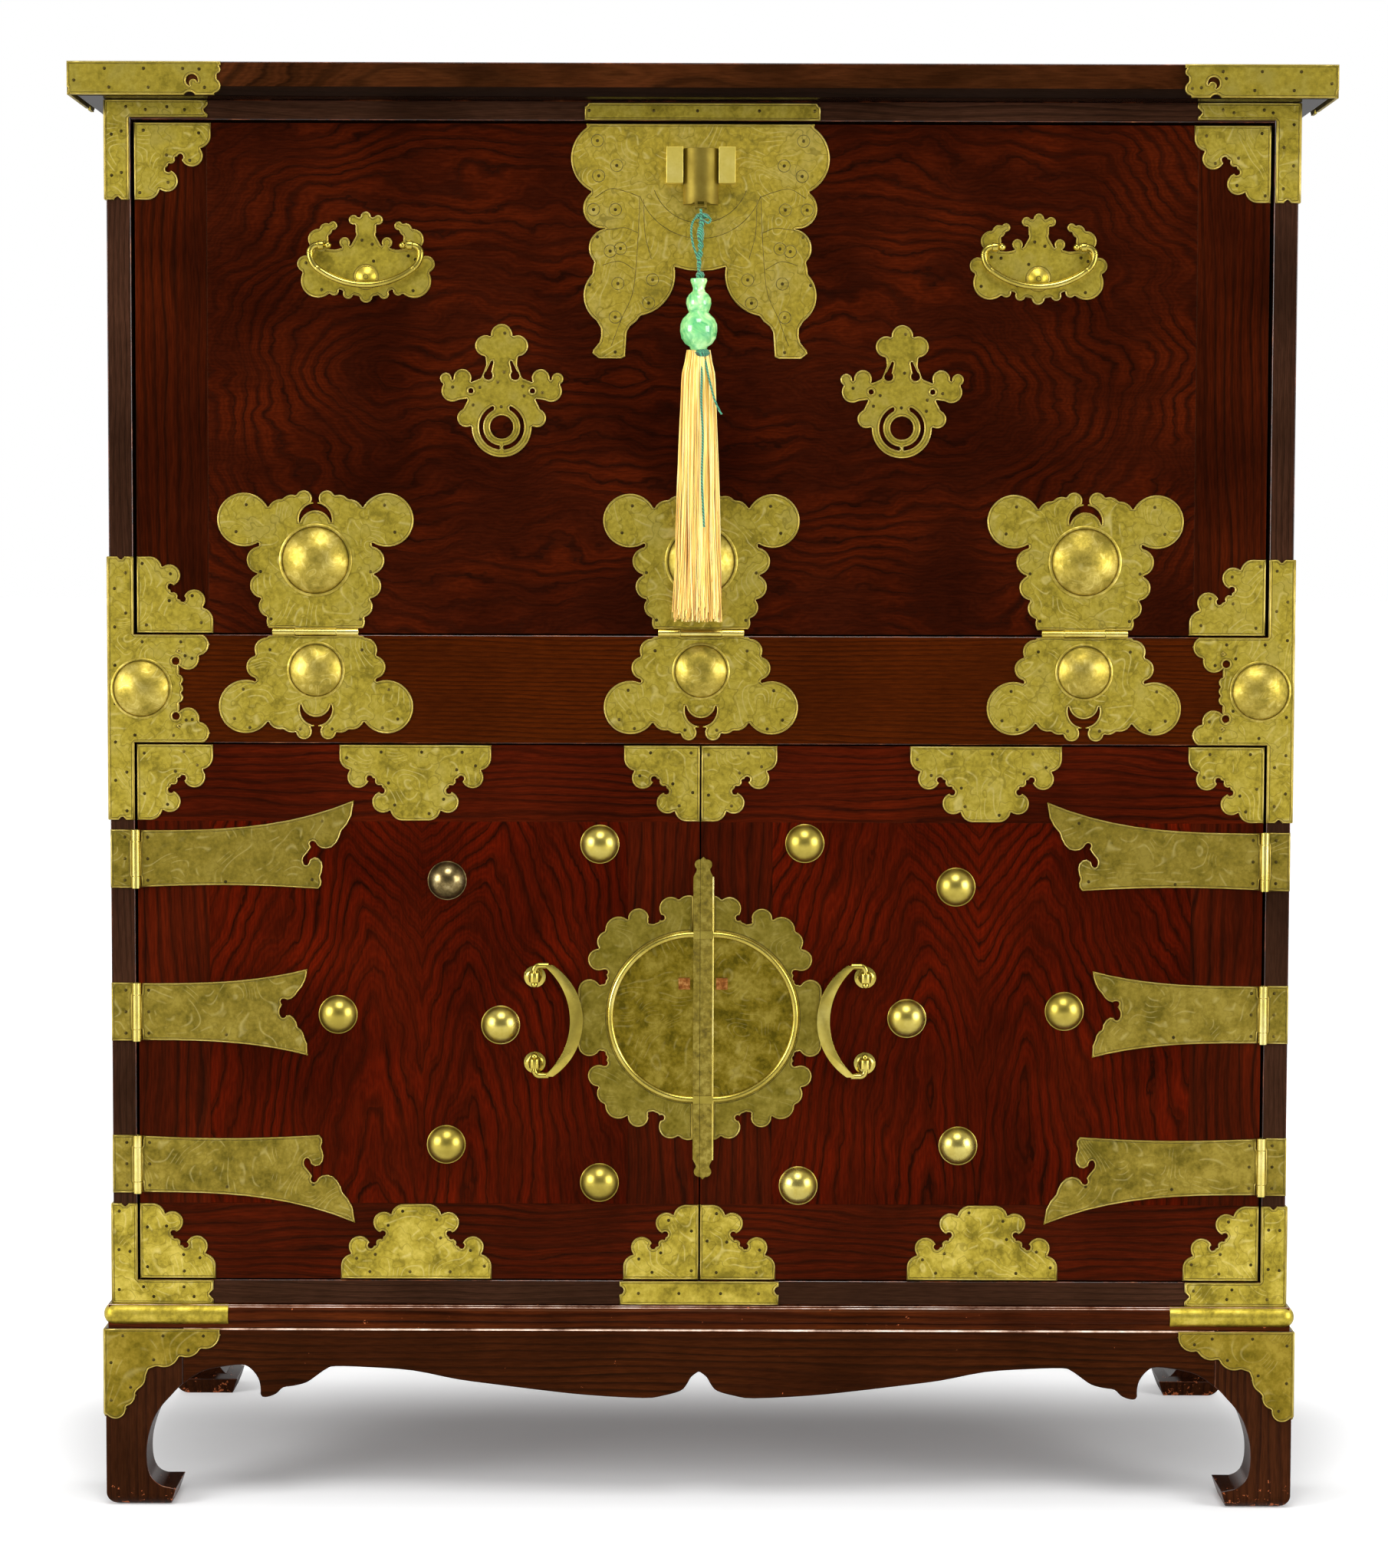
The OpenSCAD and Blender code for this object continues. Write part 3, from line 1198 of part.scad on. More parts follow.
ring_up = 1;
module door_lock_half(side) {
  bar_t = 3.6;
  disc_t = 1.8;
  z_ring = z_lock + ring_up;
  edge = lock_dx + side * bar_w / 2;
  color(brass) on_front(plate_t) intersection() {
    translate([0, z_lock]) lock_scallops();
    translate([0, z_lock]) half_plane(side, hinge_gap);
  }
  color(brass) intersection() {
    translate([edge, y_front - plate_t, z_ring]) rotate([90, 0, 0]) union() {
      cylinder(r = ring_r, h = disc_t, $fn = 96);
      translate([0, 0, disc_t]) rotate_extrude() translate([ring_r - bead_r / 2, 0]) circle(bead_r);
    }
    box(side < 0 ? -bar_l : edge, side < 0 ? edge : bar_l, y_front - 20, y_front - plate_t,
        z_ring - bar_l, z_ring + bar_l);
  }
  color(old_brass) on_front(bar_t, plate_t) intersection() {
    translate([lock_dx, z_lock]) bar_outline();
    translate([0, z_lock]) half_plane(side, bar_gap);
  }
  color(old_brass) on_front(plate_t) intersection() {
    translate([lock_dx, z_lock]) bar_outline();
    translate([0, z_lock]) half_plane(side, hinge_gap);
  }
  // Raised band where the bead crosses the bar
  color(brass) for (s = [-1, 1]) on_front(1.2, plate_t + bar_t) intersection() {
    translate([lock_dx - bar_w / 2, z_ring + s * (ring_r - bead_r / 2) - 3]) square([bar_w, 6]);
    translate([0, z_lock]) half_plane(side, bar_gap);
  }
  // Copper tab beside the bar
  color("#B07840") translate([edge + side * 7, y_front - plate_t - disc_t, z_ring + 27])
    translate([-4.5, -2.5, -5]) cube([9, 3, 9]);
}

module studs(places) color(brass) for (p = places) dome(p[0], p[1], stud_r, stud_h, 0);

pull_mid = z_lock - 1.5;
// Dome and eye that carry an end of a pull handle
module pull_posts_solid() color(brass) for (s = [-1, 1])
  translate([-pull_x, y_front, pull_mid + s * pull_eye_h / 2]) difference() {
    union() {
      rotate([90, 0, 0]) cylinder(r = 8.5, h = 1.4);
      rotate([90, 0, 0]) cylinder(r1 = 6.5, r2 = 3, h = pull_out - 2);
      translate([0, -pull_out, -3.5]) cylinder(r = 4.2, h = 7);
    }
    translate([0, -pull_out, -5]) cylinder(r = pivot_r + run_gap, h = 10);
  }

// A pull: a crescent bow with an arm and a pivot at each end, drawn round its pivots
module pull() {
  bow_h = 44;
  t = 5;
  arm_r = 2.4;
  pin_top = pull_eye_h / 2 + 9;
  outer_x = pull_reach - 52.9;
  inner_x = pull_reach - 10 - 56.5;
  rotate([90, 0, 0]) translate([0, 0, -t / 2]) linear_extrude(t) intersection() {
    difference() {
      translate([outer_x, 0]) circle(52.9, $fn = 96);
      translate([inner_x, 0]) circle(56.5, $fn = 96);
    }
    translate([9, -bow_h]) square([60, 2 * bow_h]);
  }
  for (s = [0, 1]) mirror([0, 0, s]) {
    translate([0, 0, pull_eye_h / 2 - 4.5]) cylinder(r = pivot_r, h = 10);
    translate([4, 0, pin_top - 3.5]) rotate([90, 0, 0]) rotate([0, 0, 90])
      rotate_extrude(angle = 90) translate([4, 0]) circle(arm_r);
    translate([4, 0, pin_top + 0.5]) rotate([0, 90, 0]) cylinder(r = arm_r, h = 7);
    translate([0, 0, pull_eye_h / 2 - 5.5]) sphere(2.6);
  }
}

module left_door_panel() door_panel_solid();
module left_door_frame() door_frame_solid();
module left_door_plates() door_plates_solid();
module left_door_straps() door_straps_solid();
module left_lock_half() door_lock_half(-1);
module left_door_studs() studs(left_studs);
module left_pull_posts() pull_posts_solid();
module left_pull() color(brass) translate([-pull_x, y_front - pull_out, pull_mid]) pull();

module right_door_panel() mirror([1, 0, 0]) door_panel_solid();
module right_door_frame() mirror([1, 0, 0]) door_frame_solid();
module right_door_plates() mirror([1, 0, 0]) door_plates_solid();
module right_door_straps() mirror([1, 0, 0]) door_straps_solid();
module right_lock_half() door_lock_half(1);
module right_door_studs() studs(right_studs);
module right_pull_posts() mirror([1, 0, 0]) pull_posts_solid();
module right_pull() mirror([1, 0, 0]) left_pull();

top_board();
front_posts();
rear_posts();
upper_rail();
mid_rail();
lower_rail();
side_rails();
side_panels();
back_panel();
divider_board();
case_floor();
shelf();
shelf_battens();
stand_moulding();
front_apron();
side_aprons();
rear_apron();
legs();
top_caps();
frame_corner_plates();
rail_plates();
stand_caps();
leg_plates();
rail_hinge_leaves();
post_hinge_leaves();
hinge_pins();
rail_bosses();
flap_panel();
flap_battens();
flap_corner_plates();
flap_hinge_leaves();
flap_bosses();
lock_plate();
lock_keepers();
bail_plates();
bail_posts();
flap_ornaments();
left_bail();
right_bail();
lock_slide();
cord();
gourd_bead();
tassel();
left_door_panel();
left_door_frame();
left_door_plates();
left_door_straps();
left_lock_half();
left_door_studs();
left_pull_posts();
left_pull();
right_door_panel();
right_door_frame();
right_door_plates();
right_door_straps();
right_lock_half();
right_door_studs();
right_pull_posts();
right_pull();
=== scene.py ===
import json
import math
from functools import partial

import bmesh
import bpy
import numpy as np
from mathutils import Matrix, Vector
from mathutils.bvhtree import BVHTree


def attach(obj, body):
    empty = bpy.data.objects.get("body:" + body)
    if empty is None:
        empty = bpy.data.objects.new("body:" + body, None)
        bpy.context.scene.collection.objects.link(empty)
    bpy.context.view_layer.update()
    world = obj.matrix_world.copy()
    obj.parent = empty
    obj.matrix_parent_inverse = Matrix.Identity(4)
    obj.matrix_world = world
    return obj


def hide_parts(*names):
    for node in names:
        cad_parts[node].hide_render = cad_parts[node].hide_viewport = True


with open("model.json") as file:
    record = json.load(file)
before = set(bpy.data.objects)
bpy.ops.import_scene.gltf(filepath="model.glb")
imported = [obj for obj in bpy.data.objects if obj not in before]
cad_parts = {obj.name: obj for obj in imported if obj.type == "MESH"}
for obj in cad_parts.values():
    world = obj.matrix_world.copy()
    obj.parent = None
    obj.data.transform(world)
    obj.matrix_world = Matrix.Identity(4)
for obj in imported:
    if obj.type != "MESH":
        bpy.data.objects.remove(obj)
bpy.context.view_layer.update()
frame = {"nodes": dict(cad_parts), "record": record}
mm = 0.001
print("frame loaded:", len(frame["nodes"]), "nodes")


# Small helpers

nodeFamilies = {"ShaderNodeTree": ["ShaderNode"],
                "GeometryNodeTree": ["GeometryNode", "FunctionNode", "ShaderNode", "Node"]}


def toLinear(hexColour):
    # sRGB hex to the linear colour that the shaders want
    parts = [int(hexColour[i:i + 2], 16) / 255 for i in (1, 3, 5)]
    return tuple(c / 12.92 if c <= 0.04045 else ((c + 0.055) / 1.055) ** 2.4 for c in parts) + (1.0,)


def feed(node, feeds):
    # input name or number -> value, socket or node (its first output)
    for key, value in feeds.items():
        if isinstance(value, bpy.types.Node):
            value = value.outputs[0]
        if isinstance(value, bpy.types.NodeSocket):
            node.id_data.links.new(value, node.inputs[key])
        else:
            node.inputs[key].default_value = value


def addNode(tree, kind, feeds=(), **settings):
    # kind goes without its family's name, and with the operation of a math node after a dot;
    # feeds is a dictionary as for feed, or a tuple for the first inputs, which are the value,
    # the range it comes from and the range it goes to for MapRange
    kind, _, operation = kind.partition(".")
    family = next(name for name in nodeFamilies[tree.bl_idname] if hasattr(bpy.types, name + kind))
    node = tree.nodes.new(family + kind)
    if operation:
        node.operation = operation
    for key, value in settings.items():
        setattr(node, key, value)
    feed(node, feeds if isinstance(feeds, dict) else dict(enumerate(feeds)))
    return node


def newMaterial(name):
    material = bpy.data.materials.new(name)
    material.use_nodes = True
    tree = material.node_tree
    tree.nodes.clear()
    shader = addNode(tree, "BsdfPrincipled")
    addNode(tree, "OutputMaterial", {"Surface": shader})
    place = addNode(tree, "TexCoord").outputs["Object"]
    return material, partial(addNode, tree), shader, place


def setRamp(node, stops):
    ramp = node.color_ramp
    while len(ramp.elements) < len(stops):
        ramp.elements.new(0.5)
    for element, (position, colour) in zip(ramp.elements, stops):
        element.position = position
        element.color = toLinear(colour)


def linkObject(name, data):
    made = bpy.data.objects.new(name, data)
    bpy.context.scene.collection.objects.link(made)
    return made


def newPiece(name, mesh, material=None):
    if material:
        mesh.materials.clear()
        mesh.materials.append(material)
    return linkObject(name, mesh)


def bakeModifiers(piece):
    # the evaluated shape becomes a plain mesh, and the modifiers go
    seen = piece.evaluated_get(bpy.context.evaluated_depsgraph_get())
    mesh = bpy.data.meshes.new_from_object(seen)
    piece.modifiers.clear()
    old = piece.data
    piece.data = mesh
    bpy.data.meshes.remove(old)
    return piece


def smoothFaces(mesh, angle):
    mesh.shade_smooth()
    mesh.set_sharp_from_angle(angle=math.radians(angle))


def newTree(name, inputs):
    # a geometry tree with a geometry input, the named inputs and a geometry output
    tree = bpy.data.node_groups.new(name, "GeometryNodeTree")
    tree.is_modifier = True
    sockets = [("Geometry", "INPUT", "Geometry")]
    sockets += [(label, "INPUT", kind) for label, kind in inputs.items()]
    for label, side, kind in sockets + [("Geometry", "OUTPUT", "Geometry")]:
        tree.interface.new_socket(label, in_out=side, socket_type="NodeSocket" + kind)
    return tree, partial(addNode, tree), addNode(tree, "GroupInput").outputs


def endTree(tree, geometry, material):
    # what every tree ends in: real geometry with its material
    real = addNode(tree, "RealizeInstances", (geometry,))
    finished = addNode(tree, "SetMaterial", {"Geometry": real, "Material": material})
    addNode(tree, "GroupOutput", (finished,))
    return tree


def runTree(piece, tree, **values):
    # sets the named inputs, then turns the result into a plain mesh
    modifier = piece.modifiers.new(tree.name, "NODES")
    modifier.node_group = tree
    for item in tree.interface.items_tree:
        if item.in_out == "INPUT" and item.name in values:
            modifier[item.identifier] = values[item.name]
    return bakeModifiers(piece)


def joinBody(piece, body):
    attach(piece, body)
    return piece


# Camera

cameraFit = {
    # fitted to the photo: place in m, angles in degrees
    "place": (-0.0052, -3.058, 0.7522), "pitchDown": 3.57, "roll": 0.17, "focalPx": 4748, "widthPx": 1810,
    "sensorMm": 36,
}

cameraData = bpy.data.cameras.new("camera")
cameraData.sensor_fit = "HORIZONTAL"
cameraData.sensor_width = cameraFit["sensorMm"]
cameraData.lens = cameraFit["sensorMm"] * cameraFit["focalPx"] / cameraFit["widthPx"]
camera = linkObject("camera", cameraData)
camera.matrix_world = (Matrix.Translation(cameraFit["place"])
                       @ Matrix.Rotation(math.radians(90 - cameraFit["pitchDown"]), 4, "X")
                       @ Matrix.Rotation(math.radians(cameraFit["roll"]), 4, "Z"))
bpy.context.scene.camera = camera
print("camera set")


# Cord

def twistedSilk():
    # twisted silk, dyed blue-green: soft, with a shine along the ply
    material, add, shader, place = newMaterial("twistedSilk")
    ply = add("TexWave", {"Vector": place, "Scale": 260, "Distortion": 1.5, "Detail": 1}, wave_type="BANDS",
        bands_direction="DIAGONAL")
    tone = add("ValToRGB", (ply.outputs["Fac"],))
    setRamp(tone, [(0.1, "#053D2C"), (0.55, "#12694C"), (0.95, "#389A70")])
    bump = add("Bump", {"Height": ply.outputs["Fac"], "Strength": 0.5, "Distance": 0.0003})
    feed(shader, {"Base Color": tone, "Normal": bump, "Roughness": 0.5, "Sheen Weight": 0.4})
    return material


cordRoute = {
    # lengths in mm: from the eye in the lock's slide down
    "slideX": -1.2, "eyeY": -221.0, "eyeZ": 1022.0, "radius": 1.1,
    "points": [(0, 0, -1.5), (0.2, -0.3, -6), (0.5, -0.7, -12), (0.6, -1, -18), (0.4, -1.3, -24),
               (-0.1, -1.5, -30), (-0.7, -1.7, -36), (-1.2, -1.8, -42), (-1.4, -1.9, -48), (-1.4, -2, -55),
               # on through the bead and down the middle of the tassel
               (-1.4, -2, -70), (-1.4, -2, -90), (-1.4, -2, -111), (-1.4, -2.6, -130), (-1.4, -4, -160),
               (-1.4, -5.3, -190), (-1.4, -6.3, -225), (-1.4, -6.5, -275)],
}
silkGreen = twistedSilk()


def makeCord(s):
    start = Vector((s["slideX"], s["eyeY"], s["eyeZ"]))
    points = [(start + Vector(p)) * mm for p in s["points"]]
    curve = bpy.data.curves.new("silkCord", "CURVE")
    curve.dimensions = "3D"
    curve.bevel_depth = s["radius"] * mm
    curve.bevel_resolution = 3
    curve.use_fill_caps = True
    spline = curve.splines.new("POLY")
    spline.points.add(len(points) - 1)
    for point, place in zip(spline.points, points):
        point.co = (*place, 1)
    curve.materials.append(silkGreen)
    return linkObject("silkCord", curve), points


cord, cordPoints = makeCord(cordRoute)
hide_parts("cord")
joinBody(cord, "tassel")


# Sizes that the pieces share with the solids, in mm

chest = {
    "front": -206.0, "openX": 444.25, "flapGap": 1.2, "zCase": 161.0, "zHead": 1089.5, "zTop": 1105.0,
    "topChamfer": 6.0, "flapHead": 1087.1, "flapFoot": 691.7, "plate": 1.2, "strap": 1.4, "legTop": 142.5,
    "flapAxisZ": 692.7, "doorAxisX": 443.1, "lockZ": 389.7, "lockPlateX": -1.6, "hinges": (-301.5, 0, 300),
}


# Wood

def lacqueredZelkova(name, s):
    # zelkova under thin red-brown lacquer: broad dark growth lines in red, fine dark pores, a satin shine
    material, add, shader, place = newMaterial(name)
    axes = add("SeparateXYZ", (place,))
    depthAxis = ({"X", "Y", "Z"} - {s["along"], s["across"]}).pop()
    across = add("Math.MULTIPLY_ADD", (axes.outputs[s["across"]], 1000, -s["heart"][0]))
    along = add("Math.MULTIPLY_ADD", (axes.outputs[s["along"]], 1000, -s["heart"][1]))
    depth = add("Math.MULTIPLY", (axes.outputs[depthAxis], 1000))
    grain = add("CombineXYZ", (across, depth, along))
    # slow wander, then a smaller ripple, both stretched along the grain
    slow = add("VectorMath.DIVIDE", (grain, s["slow"]))
    wander = add("TexNoise", {"Vector": slow, "Scale": 1, "Detail": 2, "Roughness": 0.5})
    quick = add("VectorMath.DIVIDE", (grain, s["quick"]))
    ripple = add("TexNoise", {"Vector": quick, "Scale": 1, "Detail": 3, "Roughness": 0.6})
    if s["figure"] == "loops":
        # long flat loops that close in a round end at both sides
        far = add("Math.ABSOLUTE", (along,))
        far = add("Math.SUBTRACT", (far, s["straight"]))
        far = add("Math.MAXIMUM", (far, 0.0))
        far = add("Math.MULTIPLY", (far, far))
        square = add("Math.MULTIPLY_ADD", (across, across, far))
        field = add("Math.SQRT", (square,))
    elif s["figure"] == "arches":
        # two rows of arches, left and right of a stem from which the lines fan out upwards
        stem = add("Math.ABSOLUTE", (across,))
        stem = add("Math.SUBTRACT", (stem, s["stem"]))
        stem = add("Math.ABSOLUTE", (stem,))
        above = add("Math.MAXIMUM", (along, 0.0))
        away = add("Math.MULTIPLY_ADD", (above, -s["fan"], stem))
        away = add("Math.SUBTRACT", (away, s["arch"]))
        away = add("Math.MULTIPLY_ADD", (away, away, s["tip"] ** 2))
        away = add("Math.SQRT", (away,))
        below = add("Math.MINIMUM", (along, 0.0))
        fall = add("Math.MULTIPLY", (below, 1 / s["drop"]))
        fall = add("Math.EXPONENT", (fall,))
        field = add("Math.MULTIPLY_ADD", (fall, s["reach"], away))
        field = add("Math.MULTIPLY_ADD", (above, s["rise"], field))
    else:
        field = add("Math.MULTIPLY_ADD", (along, s["slant"], across))
    moved = add("Math.MULTIPLY_ADD", (wander, s["wander"], field))
    moved = add("Math.MULTIPLY_ADD", (ripple, s["ripple"], moved))
    rings = add("Math.DIVIDE", (moved, s["ring"]))
    band = add("Math.FRACT", (rings,))
    # some lines are broad, some thin, and some fade
    breadth = add("MapRange", (ripple, 0.3, 0.7, *s["breadth"]))
    band = add("Math.POWER", (band, breadth))
    tone = add("ValToRGB", (band,))
    setRamp(tone, [(0.0, s["mid"]), (0.08, s["red"]), (0.48, s["red"]), (0.72, s["mid"]), (0.86, s["dark"]),
        (0.94, s["dark"]), (1.0, s["mid"])])
    fading = add("TexNoise", {"Vector": slow, "Scale": 1.7, "Detail": 1})
    fade = add("MapRange", (fading, 0.35, 0.65, s["fade"], 0.0))
    figure = add("Mix", {"Factor": fade, "A": tone.outputs[0], "B": toLinear(s["mid"])}, data_type="RGBA")
    # pores, about 1 mm wide and some 12 mm long: drawn that coarse so that they show
    fine = add("VectorMath.DIVIDE", (grain, s["pore"]))
    pores = add("TexNoise", {"Vector": fine, "Scale": 1, "Detail": 2, "Roughness": 0.6})
    poreMask = add("MapRange", (pores, 0.36, 0.6, s["pores"]))
    # thin growth lines between the broad ones
    thin = add("Math.MULTIPLY", (rings, s["thinRate"]))
    thin = add("Math.PINGPONG", (thin, 0.5))
    thin = add("MapRange", (thin, 0, 0.5, s["thin"], 1.05))
    blotch = add("TexNoise", {"Vector": grain, "Scale": s["spot"], "Detail": 2})
    shade = add("MapRange", (blotch, 0.3, 0.7, s["blotch"], 1.15))
    shade = add("Math.MULTIPLY", (shade, poreMask))
    shade = add("Math.MULTIPLY", (shade, thin))
    colour = add("VectorMath.SCALE", {0: figure.outputs["Result"], "Scale": shade}).outputs[0]
    if s["wear"]:
        # knocks and rubbed spots, where bare wood shows orange, mostly near the floor
        knocks = add("TexNoise", {"Vector": grain, "Scale": s["knock"], "Detail": 4, "Roughness": 0.7})
        low = add("MapRange", (axes.outputs["Z"], s["nearFloor"], 0, 0, 0.16))
        bare = add("Math.ADD", (knocks, low))
        bare = add("MapRange", (bare, s["wear"], s["wear"] + 0.03, 0, 0.85))
        colour = add("Mix", {"Factor": bare, "A": colour, "B": toLinear(s["bare"])},
            data_type="RGBA").outputs["Result"]
    bump = add("Bump", {"Height": poreMask, "Strength": s["bump"], "Distance": 0.0002})
    feed(shader, {"Base Color": colour, "Normal": bump, "Roughness": s["rough"],
        "Specular IOR Level": s["shine"], "Specular Tint": toLinear(s["gloss"])})
    return material


plainWood = {
    # lengths in mm: heart is the middle of the figure, slow and quick the size of the wander and the ripple
    # across, through and along the grain, and ring the distance between broad growth lines
    "figure": "straight", "along": "X", "across": "Z", "heart": (0, 0), "slant": 0.01, "slow": (45, 45, 300),
    "quick": (9, 9, 60), "wander": 26, "ripple": 4, "ring": 4.6, "breadth": (0.6, 1.5), "fade": 0.7,
    "red": "#3E1203", "mid": "#290C03", "dark": "#1A0703", "pores": 0.7, "blotch": 0.6, "bump": 0.04,
    "rough": 0.22, "shine": 0.06, "gloss": "#FFB478", "thin": 0.78, "wear": 0, "bare": "#B0603A",
    "pore": (1.1, 1.1, 12), "thinRate": 3.3, "spot": 0.011, "knock": 0.16, "nearFloor": 0.03,
}
uprightWood = dict(plainWood, along="Z", across="X")
blackWood = dict(plainWood, red="#392217", mid="#311D13", dark="#27170F", fade=0.8)
standTone = dict(blackWood, red="#361606", mid="#2A1005", dark="#1E0C04", wear=0.71)
woods = {
    "flapPanelWood": dict(plainWood, figure="loops", heart=(890, -20), straight=225, slow=(66, 66, 100),
        quick=(12, 12, 24), wander=84, ripple=19, ring=12.5, breadth=(0.7, 3.2), red="#3C1003",
        mid="#2B0B03", dark="#1F0803", fade=0.9),
    "flapEndWood": dict(uprightWood, ring=7.5, wander=30, quick=(7, 7, 60), ripple=7, breadth=(0.5, 2.2),
        red="#3A1003", mid="#2C0C03", dark="#210903", fade=0.85),
    "doorPanelWood": dict(uprightWood, figure="arches", heart=(0, 452), stem=219, arch=38, fan=0.28, tip=5,
        drop=75, reach=52, rise=0.55, slow=(60, 60, 120), quick=(12, 12, 34), wander=44, ripple=14,
        ring=10.5, breadth=(0.7, 3.4), red="#4D0E02", mid="#380B02", dark="#200602", fade=0.75, shine=0.04),
    "doorStileWood": dict(uprightWood, ring=10.5, wander=40, ripple=9, slow=(50, 50, 220), quick=(9, 9, 60),
        breadth=(0.7, 3.0), red="#471003", mid="#330C03", dark="#210703", fade=0.75),
    "doorBandWood": dict(plainWood, ring=7.2, wander=34, ripple=8, slow=(50, 50, 190), quick=(8, 8, 50),
        breadth=(0.7, 2.8), red="#451003", mid="#330C03", dark="#220703", fade=0.7),
    "midRailWood": dict(plainWood, ring=3.8, wander=16, ripple=4, red="#401602", mid="#361202",
        dark="#2B0E02", blotch=0.85),
    "railWood": dict(blackWood, ring=5.4, wander=24),
    "postWood": dict(blackWood, along="Z", ring=4.6, across="X"),
    "sidePostWood": dict(blackWood, along="Z", across="Y", ring=4.6),
    "sidePanelWood": dict(uprightWood, across="Y", figure="loops", heart=(0, 640), straight=150,
        slow=(60, 60, 150), wander=52, ripple=12, ring=11, breadth=(0.5, 2.2), fade=0.7),
    "topWood": dict(plainWood, across="Y", heart=(-20, 40), figure="loops", straight=260, ring=11, wander=46,
        ripple=9, slow=(60, 60, 180), red="#3F1E0B", mid="#321808", dark="#251106", fade=0.8),
    # painted shade: a near-black wood for the faces that lie in shade under the top board
    "underWood": dict(blackWood, red="#150C08", mid="#120A07", dark="#0E0805"),
    "standWood": dict(standTone, ring=6.5, thin=0.9),
    "mouldingWood": dict(standTone, ring=6.5, red="#52220A", mid="#3A1608", dark="#240E05", blotch=0.4,
        wear=0.68),
    "legWood": dict(standTone, along="Z", across="X", ring=6.5, thin=0.9, red="#3E1E0E", mid="#32180B",
        dark="#26110A"),
    "innerWood": dict(plainWood, across="Y", ring=7, red="#6A2E14", mid="#57240F", dark="#421A0C",
        rough=0.5),
    "backWood": dict(plainWood, ring=7, red="#482214", mid="#3A1B10", dark="#2C130B", rough=0.5),
}
woodMaterials = {name: lacqueredZelkova(name, settings) for name, settings in woods.items()}


def mottledFinish(name, texture, stops, inputs):
    # noise sorts the surface into the colours of the stops
    material, add, shader, place = newMaterial(name)
    spots = add("TexNoise", {"Vector": place, **texture})
    tone = add("ValToRGB", (spots,))
    setRamp(tone, stops)
    feed(shader, {"Base Color": tone, **inputs})
    return material


# lacquer rubbed thin along an edge, broken by lighter spots; the stand's edges are rubbed through, and their
# near-white finish is also a painted highlight
edgeSpots = {"Scale": 34, "Detail": 5, "Roughness": 0.7}
wornEdge = mottledFinish("rubbedEdge", edgeSpots, [(0.46, "#241007"), (0.58, "#54260F"), (0.7, "#8E5630")],
    {"Roughness": 0.24})
# wear and painted highlight: a near-white finish for the stand's upper edges
brightEdge = mottledFinish("brightEdge", edgeSpots, [(0.36, "#6A4632"), (0.5, "#B8957E"), (0.66, "#E6D2C2")],
    {"Roughness": 0.24})


# Brass

def agedBrass(name, s):
    # brass sheet, engraved by hand, browned and green-tinged with age: mottled, half dull
    material, add, shader, place = newMaterial(name)
    inMm = add("VectorMath.SCALE", {0: place, "Scale": 1000.0})
    cloudy = add("TexNoise", {"Vector": inMm, "Scale": 1 / s["cloud"], "Detail": 5, "Roughness": 0.65})
    speckle = add("TexNoise", {"Vector": inMm, "Scale": 1 / s["spot"], "Detail": 2, "Roughness": 0.6})
    mottled = add("Math.MULTIPLY_ADD", (speckle, s["speckle"], cloudy))
    tone = add("ValToRGB", (mottled,))
    middle = 0.5 + 0.5 * s["speckle"]
    setRamp(tone, [(middle - 0.17, s["dark"]), (middle, s["base"]), (middle + 0.17, s["light"])])
    colour = tone.outputs[0]
    height = add("Math.MULTIPLY", (speckle, 0.35))
    if s["engraved"]:
        # strokes that follow a slow flow, broken into groups; drawn about 2.5 mm apart so that they show
        flow = add("TexNoise", {"Vector": inMm, "Scale": 1 / s["flow"], "Detail": 0.4, "Distortion": 0.5})
        near = add("Math.MULTIPLY", (flow, 2 * s["flow"] / s["stroke"]))
        near = add("Math.PINGPONG", (near, 1.0))
        line = add("MapRange", (near, 0.3, 0.02))
        groups = add("TexNoise", {"Vector": inMm, "Scale": 1 / s["group"], "Detail": 1})
        inside = add("MapRange", (groups, 0.47, 0.56))
        contour = add("Math.COMPARE", (groups, 0.47, 0.012))
        cut = add("Math.MULTIPLY", (line, inside))
        shown = add("Math.MULTIPLY", (cut, s["engraved"]))
        edge = add("Math.MULTIPLY", (contour, s["engraved"]))
        colour = add("Mix", {"Factor": shown, "A": colour, "B": toLinear(s["bright"])},
            data_type="RGBA").outputs["Result"]
        colour = add("Mix", {"Factor": edge, "A": colour, "B": toLinear(s["cut"])},
            data_type="RGBA").outputs["Result"]
        height = add("Math.MULTIPLY_ADD", (shown, -0.8, height))
    dull = add("MapRange", (cloudy, 0.35, 0.65, *s["rough"][::-1]))
    bump = add("Bump", {"Height": height, "Strength": s["bump"], "Distance": 0.00025})
    feed(shader, {"Base Color": colour, "Roughness": dull, "Normal": bump, "Metallic": 1.0})
    return material


